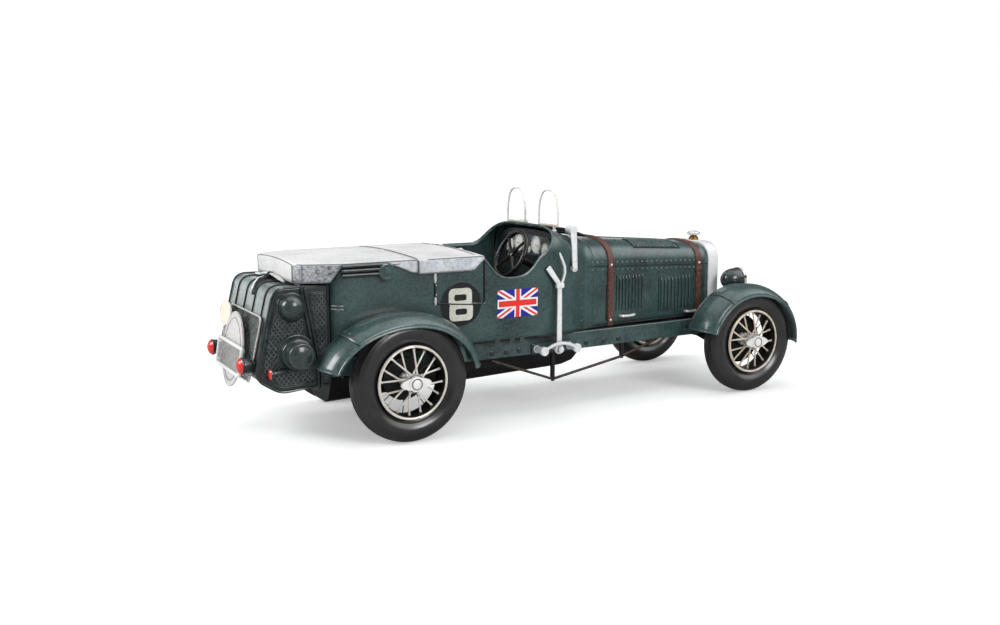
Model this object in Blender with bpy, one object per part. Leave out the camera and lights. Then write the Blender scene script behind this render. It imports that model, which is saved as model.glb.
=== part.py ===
"""Open four-seat racing tourer, a sheet-metal display model at one twelfth of full size.

Metres, +X forward, +Y to the car's left, +Z up. The origin lies on the ground under the middle
of the car. The pieces hang from an empty at the centre of the rear axle, so places in the code
are measured forward of that axle and up from the wheel centres.
"""

import math

import bmesh
import bpy
from mathutils import Matrix, Vector

# Clearances
GAP = 0.0003
RUNNING_GAP = 0.0004
SWING_GAP = 0.0004
JOINT_OVERLAP = 0.0006

# Wheels and tyres
WHEELBASE = 0.2523
TRACK = 0.1132
TYRE_RADIUS = 0.0350
TYRE_WIDTH = 0.0140
TYRE_STEPS = 26
RIM_STEPS = 18
RIM_RADIUS = 0.0212
RIM_WIDTH = 0.0124
RIM_SHEET = 0.0011
LIP_HEIGHT = 0.0010
SPOKE_COUNT = 8
SPOKE_RADIUS = 0.00045
SPOKE_LEAN = math.radians(42)
SPOKE_HUB_INSET = 0.0014
SPOKE_RIM_OFFSET = 0.0016
HUB_RADIUS = 0.0044
HUB_INNER_REACH = 0.0056
HUB_OUTER_REACH = 0.0086
NUT_RADIUS = 0.0034
NUT_HEIGHT = 0.0028
EAR_SPAN = 0.0170
EAR_WIDTH = 0.0062
EAR_TURN = math.radians(-15)
STUB_RADIUS = 0.0015
STUB_REACH = 0.0052
DRUM_RADIUS = 0.0126
DRUM_DEPTH = 0.0026

# Axles, springs and steering
AXLE_RADIUS = 0.0020
BEAM_DROP = 0.0035
KINGPIN_INSET = 0.0116
KINGPIN_RADIUS = 0.0014
EYE_RADIUS = 0.0032
EYE_HEIGHT = 0.0050
YOKE_PLATE = 0.0020
STEERING_ARM = 0.0105
TRACK_ROD_RADIUS = 0.0010
TRACK_ROD_EYE = 0.0022
TRACK_PIN_RADIUS = 0.0008
SPRING_THICKNESS = 0.0014
SPRING_WIDTH = 0.0028
FRONT_SPRING_HALF = 0.0215
REAR_SPRING_HALF = 0.0320

# Chassis
RAIL_CLEARANCE = 0.0005
RAIL_DEPTH = 0.0110
RAIL_WEB = 0.0030
RAIL_HALF_SPAN = 0.0380
RAIL_FRONT_HALF_SPAN = 0.0318
RAIL_TAPER_START = 0.0950
RAIL_REAR_END = -0.0385
HORN_LENGTH = 0.0230
HORN_TIP_DEPTH = 0.0035
HORN_BEND_SHARE = 0.45
HORN_BEND_FALL = 0.16
CROSS_MEMBER_LENGTH = 0.0060
CROSS_MEMBER_DEPTH = 0.0080
MID_MEMBER_X = 0.0730
PAN_REAR = -0.0330
PAN_LENGTH = 0.1750
PAN_HALF_WIDTH = 0.0180
PAN_FLAT_HALF = 0.0090
PAN_REAR_DEPTH = 0.0212
PAN_FRONT_DEPTH = 0.0158
PAN_NOSE = 0.0120
PAN_SHEET = 0.0010
TRUSS_REAR_X = 0.0640
TRUSS_STRUT_REAR_X = 0.1090
TRUSS_STRUT_FRONT_X = 0.1640
TRUSS_FRONT_X = 0.1910
TRUSS_REAR_DROP = 0.0166
TRUSS_FRONT_DROP = 0.0078
TRUSS_RADIUS = 0.0009
TRUSS_STRUT_RADIUS = 0.0012

# Body
BODY_SHEET = 0.0012
BODY_REAR = -0.0397
BODY_FRONT = 0.1370
BODY_HALF_WIDTH = 0.0445
BODY_REAR_HALF_WIDTH = 0.0355
REAR_CORNER_LENGTH = 0.0115
SCUTTLE_LENGTH = 0.0420
SCUTTLE_FRONT_HALF_WIDTH = 0.0315
BODY_HEIGHT = 0.0511
BODY_TUCK = 0.0025
SCUTTLE_RISE = 0.0158
SCUTTLE_FALL = 0.0088
SHOULDER_DEPTH = 0.0240
SHOULDER_FRONT_DEPTH = 0.0178
SCUTTLE_SQUARENESS = 4.0
BONNET_SQUARENESS = 2.6
LIP_BACK = 0.0270
LIP_SWEEP = 0.0160
ELBOW_BACK = 0.0355
ELBOW_LENGTH = 0.0463
ELBOW_DEPTH = 0.0122
FLOOR_SHEET = 0.0015
FLOOR_BACK = 0.0290
DASH_BACK = 0.0245
DASH_SHEET = 0.0020
DASH_BOTTOM_DROP = 0.0360
SEAT_AHEAD = 0.0013
SEAT_DEPTH = 0.0280
SEAT_HALF_WIDTH = 0.0330
SEAT_HEIGHT = 0.0170
SEAT_BACK_HEIGHT = 0.0455
SEAT_BACK_THICKNESS = 0.0055
SEAT_CROWN = 0.0020

# Bonnet and front end
BONNET_SHEET = 0.0010
BONNET_LENGTH = 0.1084
BONNET_WAIST_X = 0.0180
BONNET_WAIST_HALF_WIDTH = 0.0286
BONNET_FRONT_HALF_WIDTH = 0.0220
BONNET_FRONT_FALL = 0.0172
STRAP_WIDTH = 0.0043
STRAP_THICKNESS = 0.0009
REAR_STRAP_X = 0.0205
FRONT_STRAP_X = 0.0095
RADIATOR_DEPTH = 0.0090
RADIATOR_HALF_WIDTH = 0.0223
RADIATOR_TOP_RADIUS = 0.0130
RADIATOR_WALL = 0.0022
RADIATOR_BACK = 0.0015
RADIATOR_RISE = 0.0006
CAP_RADIUS = 0.0034
CAP_HEIGHT = 0.0065
LAMP_RADIUS = 0.0081
LAMP_LENGTH = 0.0148
LAMP_WALL = 0.0010
LAMP_HALF_SPAN = 0.0335
LAMP_AHEAD = 0.0030
LAMP_HEIGHT = 0.0385
LENS_THICKNESS = 0.0014
LAMP_BAR_RADIUS = 0.0014
LAMP_BAR_HEIGHT = 0.0230

# Mudguards
WING_SHEET = 0.0010
REAR_WING_GAP = 0.0030
FRONT_WING_GAP = 0.0022
REAR_WING_NOSE_GAP = 0.0100
REAR_WING_TAIL_GAP = 0.0180
FRONT_WING_NOSE_GAP = 0.0075
FRONT_WING_TAIL_GAP = 0.0065
WING_SIDE_GAP = 0.0022
WING_CROWN_DROP = 0.0066
WING_INNER_DROP = 0.0012
FRONT_WING_INNER = 0.0440
REAR_WING_ANGLES = (9.0, 163.0)
FRONT_WING_ANGLES = (-6.0, 165.0)
WING_STATIONS = 12
STAY_RADIUS = 0.0012

# Tail
TANK_HALF_WIDTH = 0.0380
TANK_SHEET = 0.0012
TANK_TOP = 0.0550
TANK_TOP_LENGTH = 0.0305
TANK_LENGTH = 0.0425
TANK_TAIL_HEIGHT = 0.0060
TANK_BOTTOM = -0.0030
TANK_FRONT_BOTTOM = -0.0010
TANK_BOTTOM_LENGTH = 0.0285
TANK_TOP_ROUND = 0.0080
TANK_TAIL_ROUND = 0.0070
TANK_STRAP_X = -0.0469
TANK_STRAP_WIDTH = 0.0026
TANK_STRAP_THICKNESS = 0.0012
UPPER_CAP_X = -0.0613
UPPER_CAP_Z = 0.0441
UPPER_CAP_RADIUS = 0.0063
UPPER_CAP_REACH = 0.0085
LOWER_CAP_X = -0.0593
LOWER_CAP_Z = 0.0184
LOWER_CAP_RADIUS = 0.0068
LOWER_CAP_REACH = 0.0132
CAP_FLANGE = 0.0018
UPPER_FLANGE_RIM = 0.0010
LOWER_FLANGE_RIM = 0.0035
LOWER_STEP_RIM = 0.0018
BOARD_X = -0.0838
BOARD_Z = 0.0168
BOARD_LEAN = math.radians(8.6)
BOARD_HALF_WIDTH = 0.0200
BOARD_HALF_HEIGHT = 0.0215
BOARD_SHEET = 0.0010
PLATE_HALF_WIDTH = 0.0235
PLATE_HALF_HEIGHT = 0.0078
PLATE_DROP = 0.0040
PLATE_SHEET = 0.0012
DISC_HALF_WIDTH = 0.0078
DISC_HALF_HEIGHT = 0.0062
DISC_RISE = 0.0178
DISC_OFFSET = 0.0215
TAIL_LAMP_SPAN = 0.0620
TAIL_LAMP_Z = 0.0130
TAIL_LAMP_RADIUS = 0.0048
TAIL_LAMP_LENGTH = 0.0082
TAIL_LAMP_INSET = 0.0015

# Covers, hood irons and controls
COVER_SHEET = 0.0010
COVER_CROWN = 0.0015
COVER_SIDE_GAP = 0.0014
COVER_LIFT = 0.0008
COVER_REAR = -0.0580
COVER_REAR_HALF_WIDTH = 0.0315
COVER_REAR_SKIRT = 0.0085
COVER_CORNER_LENGTH = 0.0040
COVER_CORNER_WIDTH = 0.0050
COVER_SPLIT = 0.0120
COVER_FRONT_INSET = 0.0007
COVER_SKIRT = 0.0065
IRON_RADIUS = 0.0012
IRON_PITCH = 0.0026
IRON_REAR = -0.0355
IRON_PIVOT_X = -0.0082
IRON_PIVOT_DROP = 0.0018
IRON_PIVOT_RADIUS = 0.0049
WHEEL_RIM_RADIUS = 0.0152
WHEEL_GRIP_RADIUS = 0.0009
WHEEL_HUB_RADIUS = 0.0024
COLUMN_RADIUS = 0.0020
COLUMN_RAKE = math.radians(27)
COLUMN_REACH = 0.0060
COLUMN_BORE_DEPTH = 0.0100
DRIVER_Y = -0.0210
WHEEL_BACK = 0.0255
WHEEL_CENTRE_DROP = 0.0010
LEVER_X = 0.1070
LEVER_Z = 0.0060
LEVER_LENGTH = 0.0420
LEVER_WIDTH = 0.0034
LEVER_THICKNESS = 0.0016
LEVER_EYE_RADIUS = 0.0030
LEVER_SIDE_GAP = 0.0011
BOSS_SPREAD = 0.0120
BOSS_RADIUS = 0.0028
PEG_RADIUS = 0.0015
BRACKET_SHEET = 0.0012
BRACKET_BORDER = 0.0005
ARCH_RADIUS = 0.0010
ARCH_RISE = 0.0040

# Screens
HOOP_BACK = 0.0220
HOOP_SPAN = 0.0400
HOOP_WIDTH = 0.0200
HOOP_HEIGHT = 0.0218
HOOP_WIRE = 0.0007
HOOP_LIFT = 0.0020
SCREEN_BACK = 0.0110
SCREEN_LIFT = 0.0026
SCREEN_HALF_WIDTH = 0.0256
SCREEN_HEIGHT = 0.0150
SCREEN_WIRE = 0.0008
SCREEN_PANEL = 0.0006
SCREEN_SLOPE = math.radians(18.5)
SCREEN_PIN_RADIUS = 0.0007
STANCHION_WIDTH = 0.0040
STANCHION_SHEET = 0.0010
STANCHION_HEAD_RADIUS = 0.0026
STANCHION_HEAD_DEPTH = 0.0032

# Places that follow from the sizes above
HALF_TRACK = TRACK / 2
FRONT_REACH = TYRE_RADIUS + FRONT_WING_NOSE_GAP + WING_SHEET
TAIL_LAMP_FRONT = BOARD_X + TAIL_LAMP_INSET
REAR_REACH = TAIL_LAMP_FRONT - TAIL_LAMP_LENGTH
REAR_AXLE_X = -(WHEELBASE + FRONT_REACH + REAR_REACH) / 2
RAIL_BOTTOM = AXLE_RADIUS + RAIL_CLEARANCE
RAIL_TOP = RAIL_BOTTOM + RAIL_DEPTH
FLOOR_BOTTOM = RAIL_TOP + GAP
FLOOR_TOP = FLOOR_BOTTOM + FLOOR_SHEET
BODY_BOTTOM = RAIL_TOP + GAP
BODY_TOP = BODY_BOTTOM + BODY_HEIGHT
SCUTTLE_TOP = BODY_TOP + SCUTTLE_RISE
SCUTTLE_START = BODY_FRONT - SCUTTLE_LENGTH
LIP_X = BODY_FRONT - LIP_BACK
LIP_SWEEP_START = LIP_X - LIP_SWEEP
ELBOW_FRONT = BODY_FRONT - ELBOW_BACK
ELBOW_REAR = ELBOW_FRONT - ELBOW_LENGTH
FLOOR_FRONT = BODY_FRONT - FLOOR_BACK
DASH_X = BODY_FRONT - DASH_BACK
SEAT_BACK_X = ELBOW_REAR + SEAT_AHEAD
HOOP_X = BODY_FRONT - HOOP_BACK
SCREEN_X = BODY_FRONT - SCREEN_BACK
TANK_FRONT = BODY_REAR - GAP
BONNET_REAR = BODY_FRONT + GAP
BONNET_FRONT = BONNET_REAR + BONNET_LENGTH
RADIATOR_REAR = BONNET_FRONT + GAP
RADIATOR_FRONT = RADIATOR_REAR + RADIATOR_DEPTH
RADIATOR_TOP = SCUTTLE_TOP - BONNET_FRONT_FALL + RADIATOR_RISE
LAMP_X = RADIATOR_FRONT + LAMP_AHEAD
KINGPIN_Y = HALF_TRACK - KINGPIN_INSET
COVER_TOP = BODY_TOP + GAP + COVER_LIFT + COVER_SHEET
COVER_FRONT = ELBOW_REAR - COVER_FRONT_INSET
WHEEL_CENTRE_X = DASH_X - WHEEL_BACK
WHEEL_CENTRE_Z = BODY_TOP - WHEEL_CENTRE_DROP


def clear_scene():
    for item in list(bpy.data.objects):
        bpy.data.objects.remove(item, do_unlink=True)


def finish(name, colour, roughness, metallic=0.0):
    material = bpy.data.materials.new(name)
    material.use_nodes = True
    shader = material.node_tree.nodes["Principled BSDF"]
    shader.inputs["Base Color"].default_value = (*colour, 1.0)
    shader.inputs["Roughness"].default_value = roughness
    shader.inputs["Metallic"].default_value = metallic
    material.diffuse_color = (*colour, 1.0)
    return material


def make_finishes():
    return {
        "green": finish("green_enamel", (0.035, 0.060, 0.058), 0.35, 0.2),
        "black": finish("black_enamel", (0.015, 0.015, 0.015), 0.45),
        "tyre": finish("black_rubber", (0.022, 0.021, 0.021), 0.75),
        "silver": finish("silver_wire", (0.75, 0.72, 0.68), 0.35, 0.8),
        "white": finish("white_enamel", (0.80, 0.80, 0.80), 0.45),
        "cream": finish("cream_enamel", (0.80, 0.76, 0.66), 0.50),
        "brown": finish("brown_leather", (0.085, 0.045, 0.035), 0.60),
        "hide": finish("dark_hide", (0.030, 0.022, 0.018), 0.60),
        "brass": finish("aged_brass", (0.60, 0.45, 0.20), 0.35, 0.9),
        "glass": finish("lamp_glass", (0.75, 0.80, 0.80), 0.10),
        "red": finish("red_lens", (0.60, 0.05, 0.04), 0.20),
    }


def solid_object(name, bm):
    """An object from a closed bmesh, with its faces turned outward."""
    bmesh.ops.recalc_face_normals(bm, faces=bm.faces)
    mesh = bpy.data.meshes.new(name)
    bm.to_mesh(mesh)
    bm.free()
    item = bpy.data.objects.new(name, mesh)
    bpy.context.scene.collection.objects.link(item)
    return item


def baked(item, *others):
    """The evaluated mesh of an object. The object and its cutters are removed."""
    bpy.context.view_layer.update()
    graph = bpy.context.evaluated_depsgraph_get()
    mesh = bpy.data.meshes.new_from_object(item.evaluated_get(graph))
    for spent in (item, *others):
        bpy.data.objects.remove(spent, do_unlink=True)
    return mesh


def combine(base, tools, operation):
    """Join tools to a solid, or cut them from it, one after another."""
    for tool in tools:
        modifier = base.modifiers.new(operation.lower(), "BOOLEAN")
        modifier.operation = operation
        modifier.solver = "EXACT"
        modifier.object = tool
    name = base.name
    mesh = baked(base, *tools)
    item = bpy.data.objects.new(name, mesh)
    bpy.context.scene.collection.objects.link(item)
    return item


def union(name, *shapes):
    items = [solid_object(name + "_shape", shape) for shape in shapes]
    joined = combine(items[0], items[1:], "UNION")
    joined.name = name
    return joined


def cut(item, *shapes):
    name = item.name
    tools = [solid_object(name + "_cutter", shape) for shape in shapes]
    result = combine(item, tools, "DIFFERENCE")
    result.name = name
    return result


def thickened(name, bm, sheet):
    """A sheet made into a closed wall. Its outer side stays where it was drawn."""
    mesh = bpy.data.meshes.new(name)
    bm.to_mesh(mesh)
    bm.free()
    item = bpy.data.objects.new(name, mesh)
    bpy.context.scene.collection.objects.link(item)
    modifier = item.modifiers.new("wall", "SOLIDIFY")
    modifier.thickness = sheet
    modifier.offset = -1.0
    modifier.use_even_offset = True
    modifier.use_quality_normals = True
    result = combine(item, [], "UNION")
    result.name = name
    return result


def place(item, material, parent, location=(0, 0, 0), turn=(0, 0, 0)):
    """Finish a node: its material, its smooth shading and its place under a parent."""
    item.data.materials.clear()
    item.data.materials.append(material)
    item.data.shade_smooth()
    item.data.set_sharp_from_angle(angle=math.radians(35))
    item.parent = parent
    item.location = location
    item.rotation_euler = turn
    return item


def copy_of(item, name):
    twin = bpy.data.objects.new(name, item.data)
    bpy.context.scene.collection.objects.link(twin)
    return twin


def empty(name, parent=None, location=(0, 0, 0), turn=(0, 0, 0)):
    item = bpy.data.objects.new(name, None)
    bpy.context.scene.collection.objects.link(item)
    item.parent = parent
    item.location = location
    item.rotation_euler = turn
    return item


def block(low, high):
    """A box between two corners."""
    bm = bmesh.new()
    bmesh.ops.create_cube(bm, size=1.0)
    low = Vector(low)
    high = Vector(high)
    size = high - low
    middle = (low + high) / 2
    bmesh.ops.scale(bm, vec=size, verts=bm.verts)
    bmesh.ops.translate(bm, vec=middle, verts=bm.verts)
    return bm


def rod(start, end, radius, sides=12):
    """A round bar between two points."""
    start = Vector(start)
    end = Vector(end)
    along = end - start
    turn = along.to_track_quat("Z", "Y").to_matrix().to_4x4()
    matrix = Matrix.Translation((start + end) / 2) @ turn
    bm = bmesh.new()
    bmesh.ops.create_cone(
        bm, cap_ends=True, segments=sides, radius1=radius, radius2=radius,
        depth=along.length, matrix=matrix,
    )
    return bm


def skin(bm, loops, closed=False):
    """Faces between closed loops of equal length, with end caps unless the run closes."""
    rings = [[bm.verts.new(point) for point in loop] for loop in loops]
    pairs = list(zip(rings, rings[1:]))
    if closed:
        pairs.append((rings[-1], rings[0]))
    for first, second in pairs:
        count = len(first)
        for i in range(count):
            j = (i + 1) % count
            bm.faces.new((first[i], first[j], second[j], second[i]))
    if not closed:
        bm.faces.new(rings[0])
        bm.faces.new(rings[-1])
    return bm


def pipe(points, radius, sides=8, closed=False):
    """A round wire along a run of points."""
    points = [Vector(point) for point in points]
    count = len(points)
    loops = []
    side = None
    for i, point in enumerate(points):
        before = points[i - 1] if closed or i > 0 else point
        after = points[(i + 1) % count] if closed or i < count - 1 else point
        along = (after - before).normalized()
        if side is None:
            side = along.orthogonal().normalized()
        side = (side - along * side.dot(along)).normalized()
        up = along.cross(side)
        loop = []
        for k in range(sides):
            angle = 2 * math.pi * (k + 0.5) / sides
            loop.append(point + radius * (math.cos(angle) * side + math.sin(angle) * up))
        loops.append(loop)
    return skin(bmesh.new(), loops, closed)


def lathe(profile, steps, axis, centre=(0, 0, 0), start=0.0):
    """A solid turned about X, Y or Z. The profile runs in (radius, along) and closes on itself."""
    along = Vector(axis).normalized()
    out = Vector((1, 0, 0)) if along.z else Vector((0, 0, 1))
    out = Matrix.Rotation(start, 3, along) @ out
    bm = bmesh.new()
    ring = [bm.verts.new(out * radius + along * run) for radius, run in profile]
    edges = [bm.edges.new((ring[i - 1], ring[i])) for i in range(len(ring))]
    bmesh.ops.spin(
        bm, geom=ring + edges, cent=(0, 0, 0), axis=along, angle=2 * math.pi,
        steps=steps, use_merge=True, use_duplicate=False,
    )
    bmesh.ops.remove_doubles(bm, verts=bm.verts, dist=1e-6)
    loose = [edge for edge in bm.edges if not edge.link_faces]
    bmesh.ops.delete(bm, geom=loose, context="EDGES")
    bmesh.ops.translate(bm, vec=centre, verts=bm.verts)
    return bm


def prism(outline, axis, low, high):
    """A flat outline pushed along X, Y or Z. The outline gives the other two axes in order."""
    def lift(point, level):
        point = list(point)
        point.insert("XYZ".index(axis), level)
        return point
    loops = [[lift(point, level) for point in outline] for level in (low, high)]
    return skin(bmesh.new(), loops)


def rounded(corners, steps=4):
    """A closed outline from (x, y, radius) corners, with arcs at the rounded ones."""
    outline = []
    count = len(corners)
    for i, (x, y, radius) in enumerate(corners):
        corner = Vector((x, y))
        if radius == 0:
            outline.append((x, y))
            continue
        before = (Vector(corners[i - 1][:2]) - corner).normalized()
        after = (Vector(corners[(i + 1) % count][:2]) - corner).normalized()
        half = before.angle(after) / 2
        centre = corner + (before + after).normalized() * radius / math.sin(half)
        first = corner + before * radius / math.tan(half) - centre
        sweep = first.angle_signed(corner + after * radius / math.tan(half) - centre)
        for k in range(steps + 1):
            angle = -sweep * k / steps
            arm = Matrix.Rotation(angle, 2) @ first
            outline.append(tuple(centre + arm))
    return outline


def oval(half_width, half_height, steps, power=2.0):
    """Points round an ellipse, or a squarer or more pointed oval."""
    outline = []
    for k in range(steps):
        angle = 2 * math.pi * k / steps
        across = math.cos(angle)
        up = math.sin(angle)
        outline.append((
            half_width * math.copysign(abs(across) ** (2 / power), across),
            half_height * math.copysign(abs(up) ** (2 / power), up),
        ))
    return outline


def sheet(rows, inside, ends=(False, False)):
    """An open grid of points, facing away from an inside point, with closed ends if asked."""
    bm = bmesh.new()
    grid = [[bm.verts.new(point) for point in row] for row in rows]
    for lower, upper in zip(grid, grid[1:]):
        for i in range(len(lower) - 1):
            bm.faces.new((lower[i], lower[i + 1], upper[i + 1], upper[i]))
    if ends[0]:
        bm.faces.new(grid[0])
    if ends[1]:
        bm.faces.new(grid[-1])
    bmesh.ops.recalc_face_normals(bm, faces=bm.faces)
    bm.normal_update()
    inside = Vector(inside)
    outward = sum(
        face.normal.dot(face.calc_center_median() - inside) * face.calc_area()
        for face in bm.faces
    )
    if outward < 0:
        bmesh.ops.reverse_faces(bm, faces=bm.faces)
    return bm


def between(x, stations):
    """A value read between (x, value) stations, straight from one to the next."""
    if x <= stations[0][0]:
        return stations[0][1]
    for (x0, v0), (x1, v1) in zip(stations, stations[1:]):
        if x <= x1:
            return v0 + (v1 - v0) * (x - x0) / (x1 - x0)
    return stations[-1][1]


def body_half_width(x):
    corner = BODY_HALF_WIDTH - BODY_REAR_HALF_WIDTH
    scuttle = BODY_HALF_WIDTH - SCUTTLE_FRONT_HALF_WIDTH
    return between(x, [
        (BODY_REAR, BODY_REAR_HALF_WIDTH),
        (BODY_REAR + REAR_CORNER_LENGTH * 0.2, BODY_HALF_WIDTH - corner * 0.44),
        (BODY_REAR + REAR_CORNER_LENGTH * 0.53, BODY_HALF_WIDTH - corner * 0.12),
        (BODY_REAR + REAR_CORNER_LENGTH, BODY_HALF_WIDTH),
        (SCUTTLE_START, BODY_HALF_WIDTH),
        (SCUTTLE_START + SCUTTLE_LENGTH * 0.31, BODY_HALF_WIDTH - scuttle * 0.12),
        (SCUTTLE_START + SCUTTLE_LENGTH * 0.6, BODY_HALF_WIDTH - scuttle * 0.42),
        (BODY_FRONT, SCUTTLE_FRONT_HALF_WIDTH),
    ])


def arch_of(x):
    """Half-width, tuck, shoulder height, top height and squareness of the body at a station."""
    share = between(x, [(LIP_X, 0.0), (BODY_FRONT, 1.0)])
    top = SCUTTLE_TOP - SCUTTLE_FALL * share
    depth = SHOULDER_DEPTH + (SHOULDER_FRONT_DEPTH - SHOULDER_DEPTH) * share
    square = SCUTTLE_SQUARENESS + (BONNET_SQUARENESS - SCUTTLE_SQUARENESS) * share
    tuck = BODY_TUCK * (1 - between(x, [(SCUTTLE_START, 0.0), (BODY_FRONT, 1.0)]))
    return body_half_width(x), tuck, top - depth, top, square


def bonnet_arch(x):
    share = (x - BONNET_REAR) / BONNET_LENGTH
    waist = BONNET_REAR + BONNET_WAIST_X
    half = between(x, [
        (BONNET_REAR, SCUTTLE_FRONT_HALF_WIDTH),
        (waist, BONNET_WAIST_HALF_WIDTH),
        (BONNET_FRONT, BONNET_FRONT_HALF_WIDTH),
    ])
    top = SCUTTLE_TOP - SCUTTLE_FALL - (BONNET_FRONT_FALL - SCUTTLE_FALL) * share
    shoulder = top - SHOULDER_FRONT_DEPTH + (RADIATOR_RISE * 6) * share
    return half, 0.0, shoulder, top, BONNET_SQUARENESS


def arch_points(x, arch, grow=0.0, steps=6):
    """The section from the lower right edge over the top to the lower left edge."""
    half, tuck, shoulder, top, square = arch
    half = half + grow
    top = top + grow
    right = [
        (half - tuck, BODY_BOTTOM),
        (half - tuck * 0.3, BODY_BOTTOM + (shoulder - BODY_BOTTOM) * 0.3),
        (half, BODY_BOTTOM + (shoulder - BODY_BOTTOM) * 0.7),
    ]
    for k in range(steps + 1):
        angle = math.pi / 2 * k / steps
        right.append((
            half * math.cos(angle) ** (2 / square),
            shoulder + (top - shoulder) * math.sin(angle) ** (2 / square),
        ))
    right[-1] = (0.0, top)
    points = [(x, -y, z) for y, z in right]
    points += [(x, y, z) for y, z in reversed(right[:-1])]
    return points


def arch_height(x, y):
    """Height of the scuttle's outer surface above a point."""
    half, _, shoulder, top, square = arch_of(x)
    across = (abs(y) / half) ** square
    return shoulder + (top - shoulder) * (1 - across) ** (1 / square)


def rail_top(x):
    """Height of a chassis rail's upper face: level, then falling along the front horn."""
    return between(x, [
        (WHEELBASE, RAIL_TOP),
        (WHEELBASE + HORN_LENGTH * HORN_BEND_SHARE, RAIL_TOP - RAIL_DEPTH * HORN_BEND_FALL),
        (WHEELBASE + HORN_LENGTH, RAIL_BOTTOM + HORN_TIP_DEPTH),
    ])


def rail_half_span(x):
    return between(x, [
        (RAIL_TAPER_START, RAIL_HALF_SPAN),
        (WHEELBASE, RAIL_FRONT_HALF_SPAN),
    ])


def make_tyre():
    half = TYRE_WIDTH / 2
    seat = RIM_RADIUS - LIP_HEIGHT + GAP
    bead = RIM_WIDTH / 2 - RIM_SHEET
    wall = TYRE_RADIUS - RIM_RADIUS
    tread = TYRE_RADIUS / math.cos(math.pi / TYRE_STEPS)
    right = [
        (seat, bead),
        (RIM_RADIUS + GAP, bead),
        (RIM_RADIUS + wall * 0.10, half * 0.92),
        (RIM_RADIUS + wall * 0.45, half),
        (RIM_RADIUS + wall * 0.80, half * 0.86),
        (tread, half * 0.40),
    ]
    profile = right + [(radius, -run) for radius, run in reversed(right)]
    start = math.pi / TYRE_STEPS
    return lathe(profile, TYRE_STEPS, (0, 1, 0), start=start)


def make_wire_wheel(name):
    """Rim, laced spokes, hub and eared nut of a right-hand wheel, outward along -Y."""
    edge = RIM_WIDTH / 2
    seat = RIM_RADIUS - LIP_HEIGHT
    barrel = seat - RIM_SHEET
    lip = RIM_SHEET * 0.7
    half = [
        (barrel, edge * 0.6),
        (RIM_RADIUS - LIP_HEIGHT - RIM_SHEET * 0.4, edge),
        (RIM_RADIUS, edge),
        (RIM_RADIUS, edge - lip),
        (seat, edge - lip - GAP),
    ]
    rim = lathe(half + [(r, -run) for r, run in reversed(half)], RIM_STEPS, (0, 1, 0))
    bore = STUB_RADIUS + RUNNING_GAP
    bore_end = -STUB_REACH - RUNNING_GAP
    hub = lathe([
        (bore, HUB_INNER_REACH),
        (HUB_RADIUS, HUB_INNER_REACH),
        (HUB_RADIUS, -HUB_OUTER_REACH),
        (NUT_RADIUS, -HUB_OUTER_REACH),
        (NUT_RADIUS * 0.8, -HUB_OUTER_REACH - NUT_HEIGHT),
        (0.0, -HUB_OUTER_REACH - NUT_HEIGHT),
        (0.0, bore_end),
        (bore, bore_end),
    ], 12, (0, 1, 0))
    spokes = bmesh.new()
    layers = (
        (-HUB_OUTER_REACH + SPOKE_HUB_INSET, -SPOKE_RIM_OFFSET, 1),
        (HUB_INNER_REACH - SPOKE_HUB_INSET, SPOKE_RIM_OFFSET, -1),
    )
    for hub_y, rim_y, lean in layers:
        for k in range(SPOKE_COUNT):
            inner = 2 * math.pi * (k + 0.25 * (1 + lean)) / SPOKE_COUNT
            outer = inner + lean * SPOKE_LEAN
            foot = HUB_RADIUS - JOINT_OVERLAP
            head = seat - RIM_SHEET / 2
            wire = rod(
                (foot * math.cos(inner), hub_y, foot * math.sin(inner)),
                (head * math.cos(outer), rim_y, head * math.sin(outer)),
                SPOKE_RADIUS, 4,
            )
            mesh = bpy.data.meshes.new("spoke")
            wire.to_mesh(mesh)
            wire.free()
            spokes.from_mesh(mesh)
            bpy.data.meshes.remove(mesh)
    ear_low = -HUB_OUTER_REACH - NUT_HEIGHT * 0.75
    ears = block(
        (-EAR_SPAN / 2, ear_low, -EAR_WIDTH / 2),
        (EAR_SPAN / 2, -HUB_OUTER_REACH + JOINT_OVERLAP, EAR_WIDTH / 2),
    )
    turn = Matrix.Rotation(EAR_TURN, 3, "Y")
    bmesh.ops.rotate(ears, cent=(0, 0, 0), matrix=turn, verts=ears.verts)
    return union(name, rim, spokes, hub, ears)


def add_wheels(car, finishes, knuckles):
    tyre = solid_object("tyre_rear_right", make_tyre())
    wheel = make_wire_wheel("wheel_rear_right")
    corners = (
        ("rear_right", car, (0, -HALF_TRACK, 0), 0.0),
        ("rear_left", car, (0, HALF_TRACK, 0), math.pi),
        ("front_right", knuckles["right"], (0, -KINGPIN_INSET, 0), 0.0),
        ("front_left", knuckles["left"], (0, KINGPIN_INSET, 0), math.pi),
    )
    for corner, parent, location, turn in corners:
        spin = empty("spin_" + corner, parent, location, (0, 0, turn))
        first = corner == "rear_right"
        rubber = tyre if first else copy_of(tyre, "tyre_" + corner)
        metal = wheel if first else copy_of(wheel, "wheel_" + corner)
        place(rubber, finishes["tyre"], spin)
        place(metal, finishes["silver"], spin)


def leaf_spring(centre, half, middle_z, end_z):
    """A flat bowed spring lying along X."""
    x, y = centre
    low = []
    steps = 6
    for k in range(steps + 1):
        share = 2 * k / steps - 1
        low.append((x + half * share, middle_z + (end_z - middle_z) * share * share))
    outline = low + [(px, pz + SPRING_THICKNESS) for px, pz in reversed(low)]
    return prism(outline, "Y", y - SPRING_WIDTH / 2, y + SPRING_WIDTH / 2)


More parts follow.
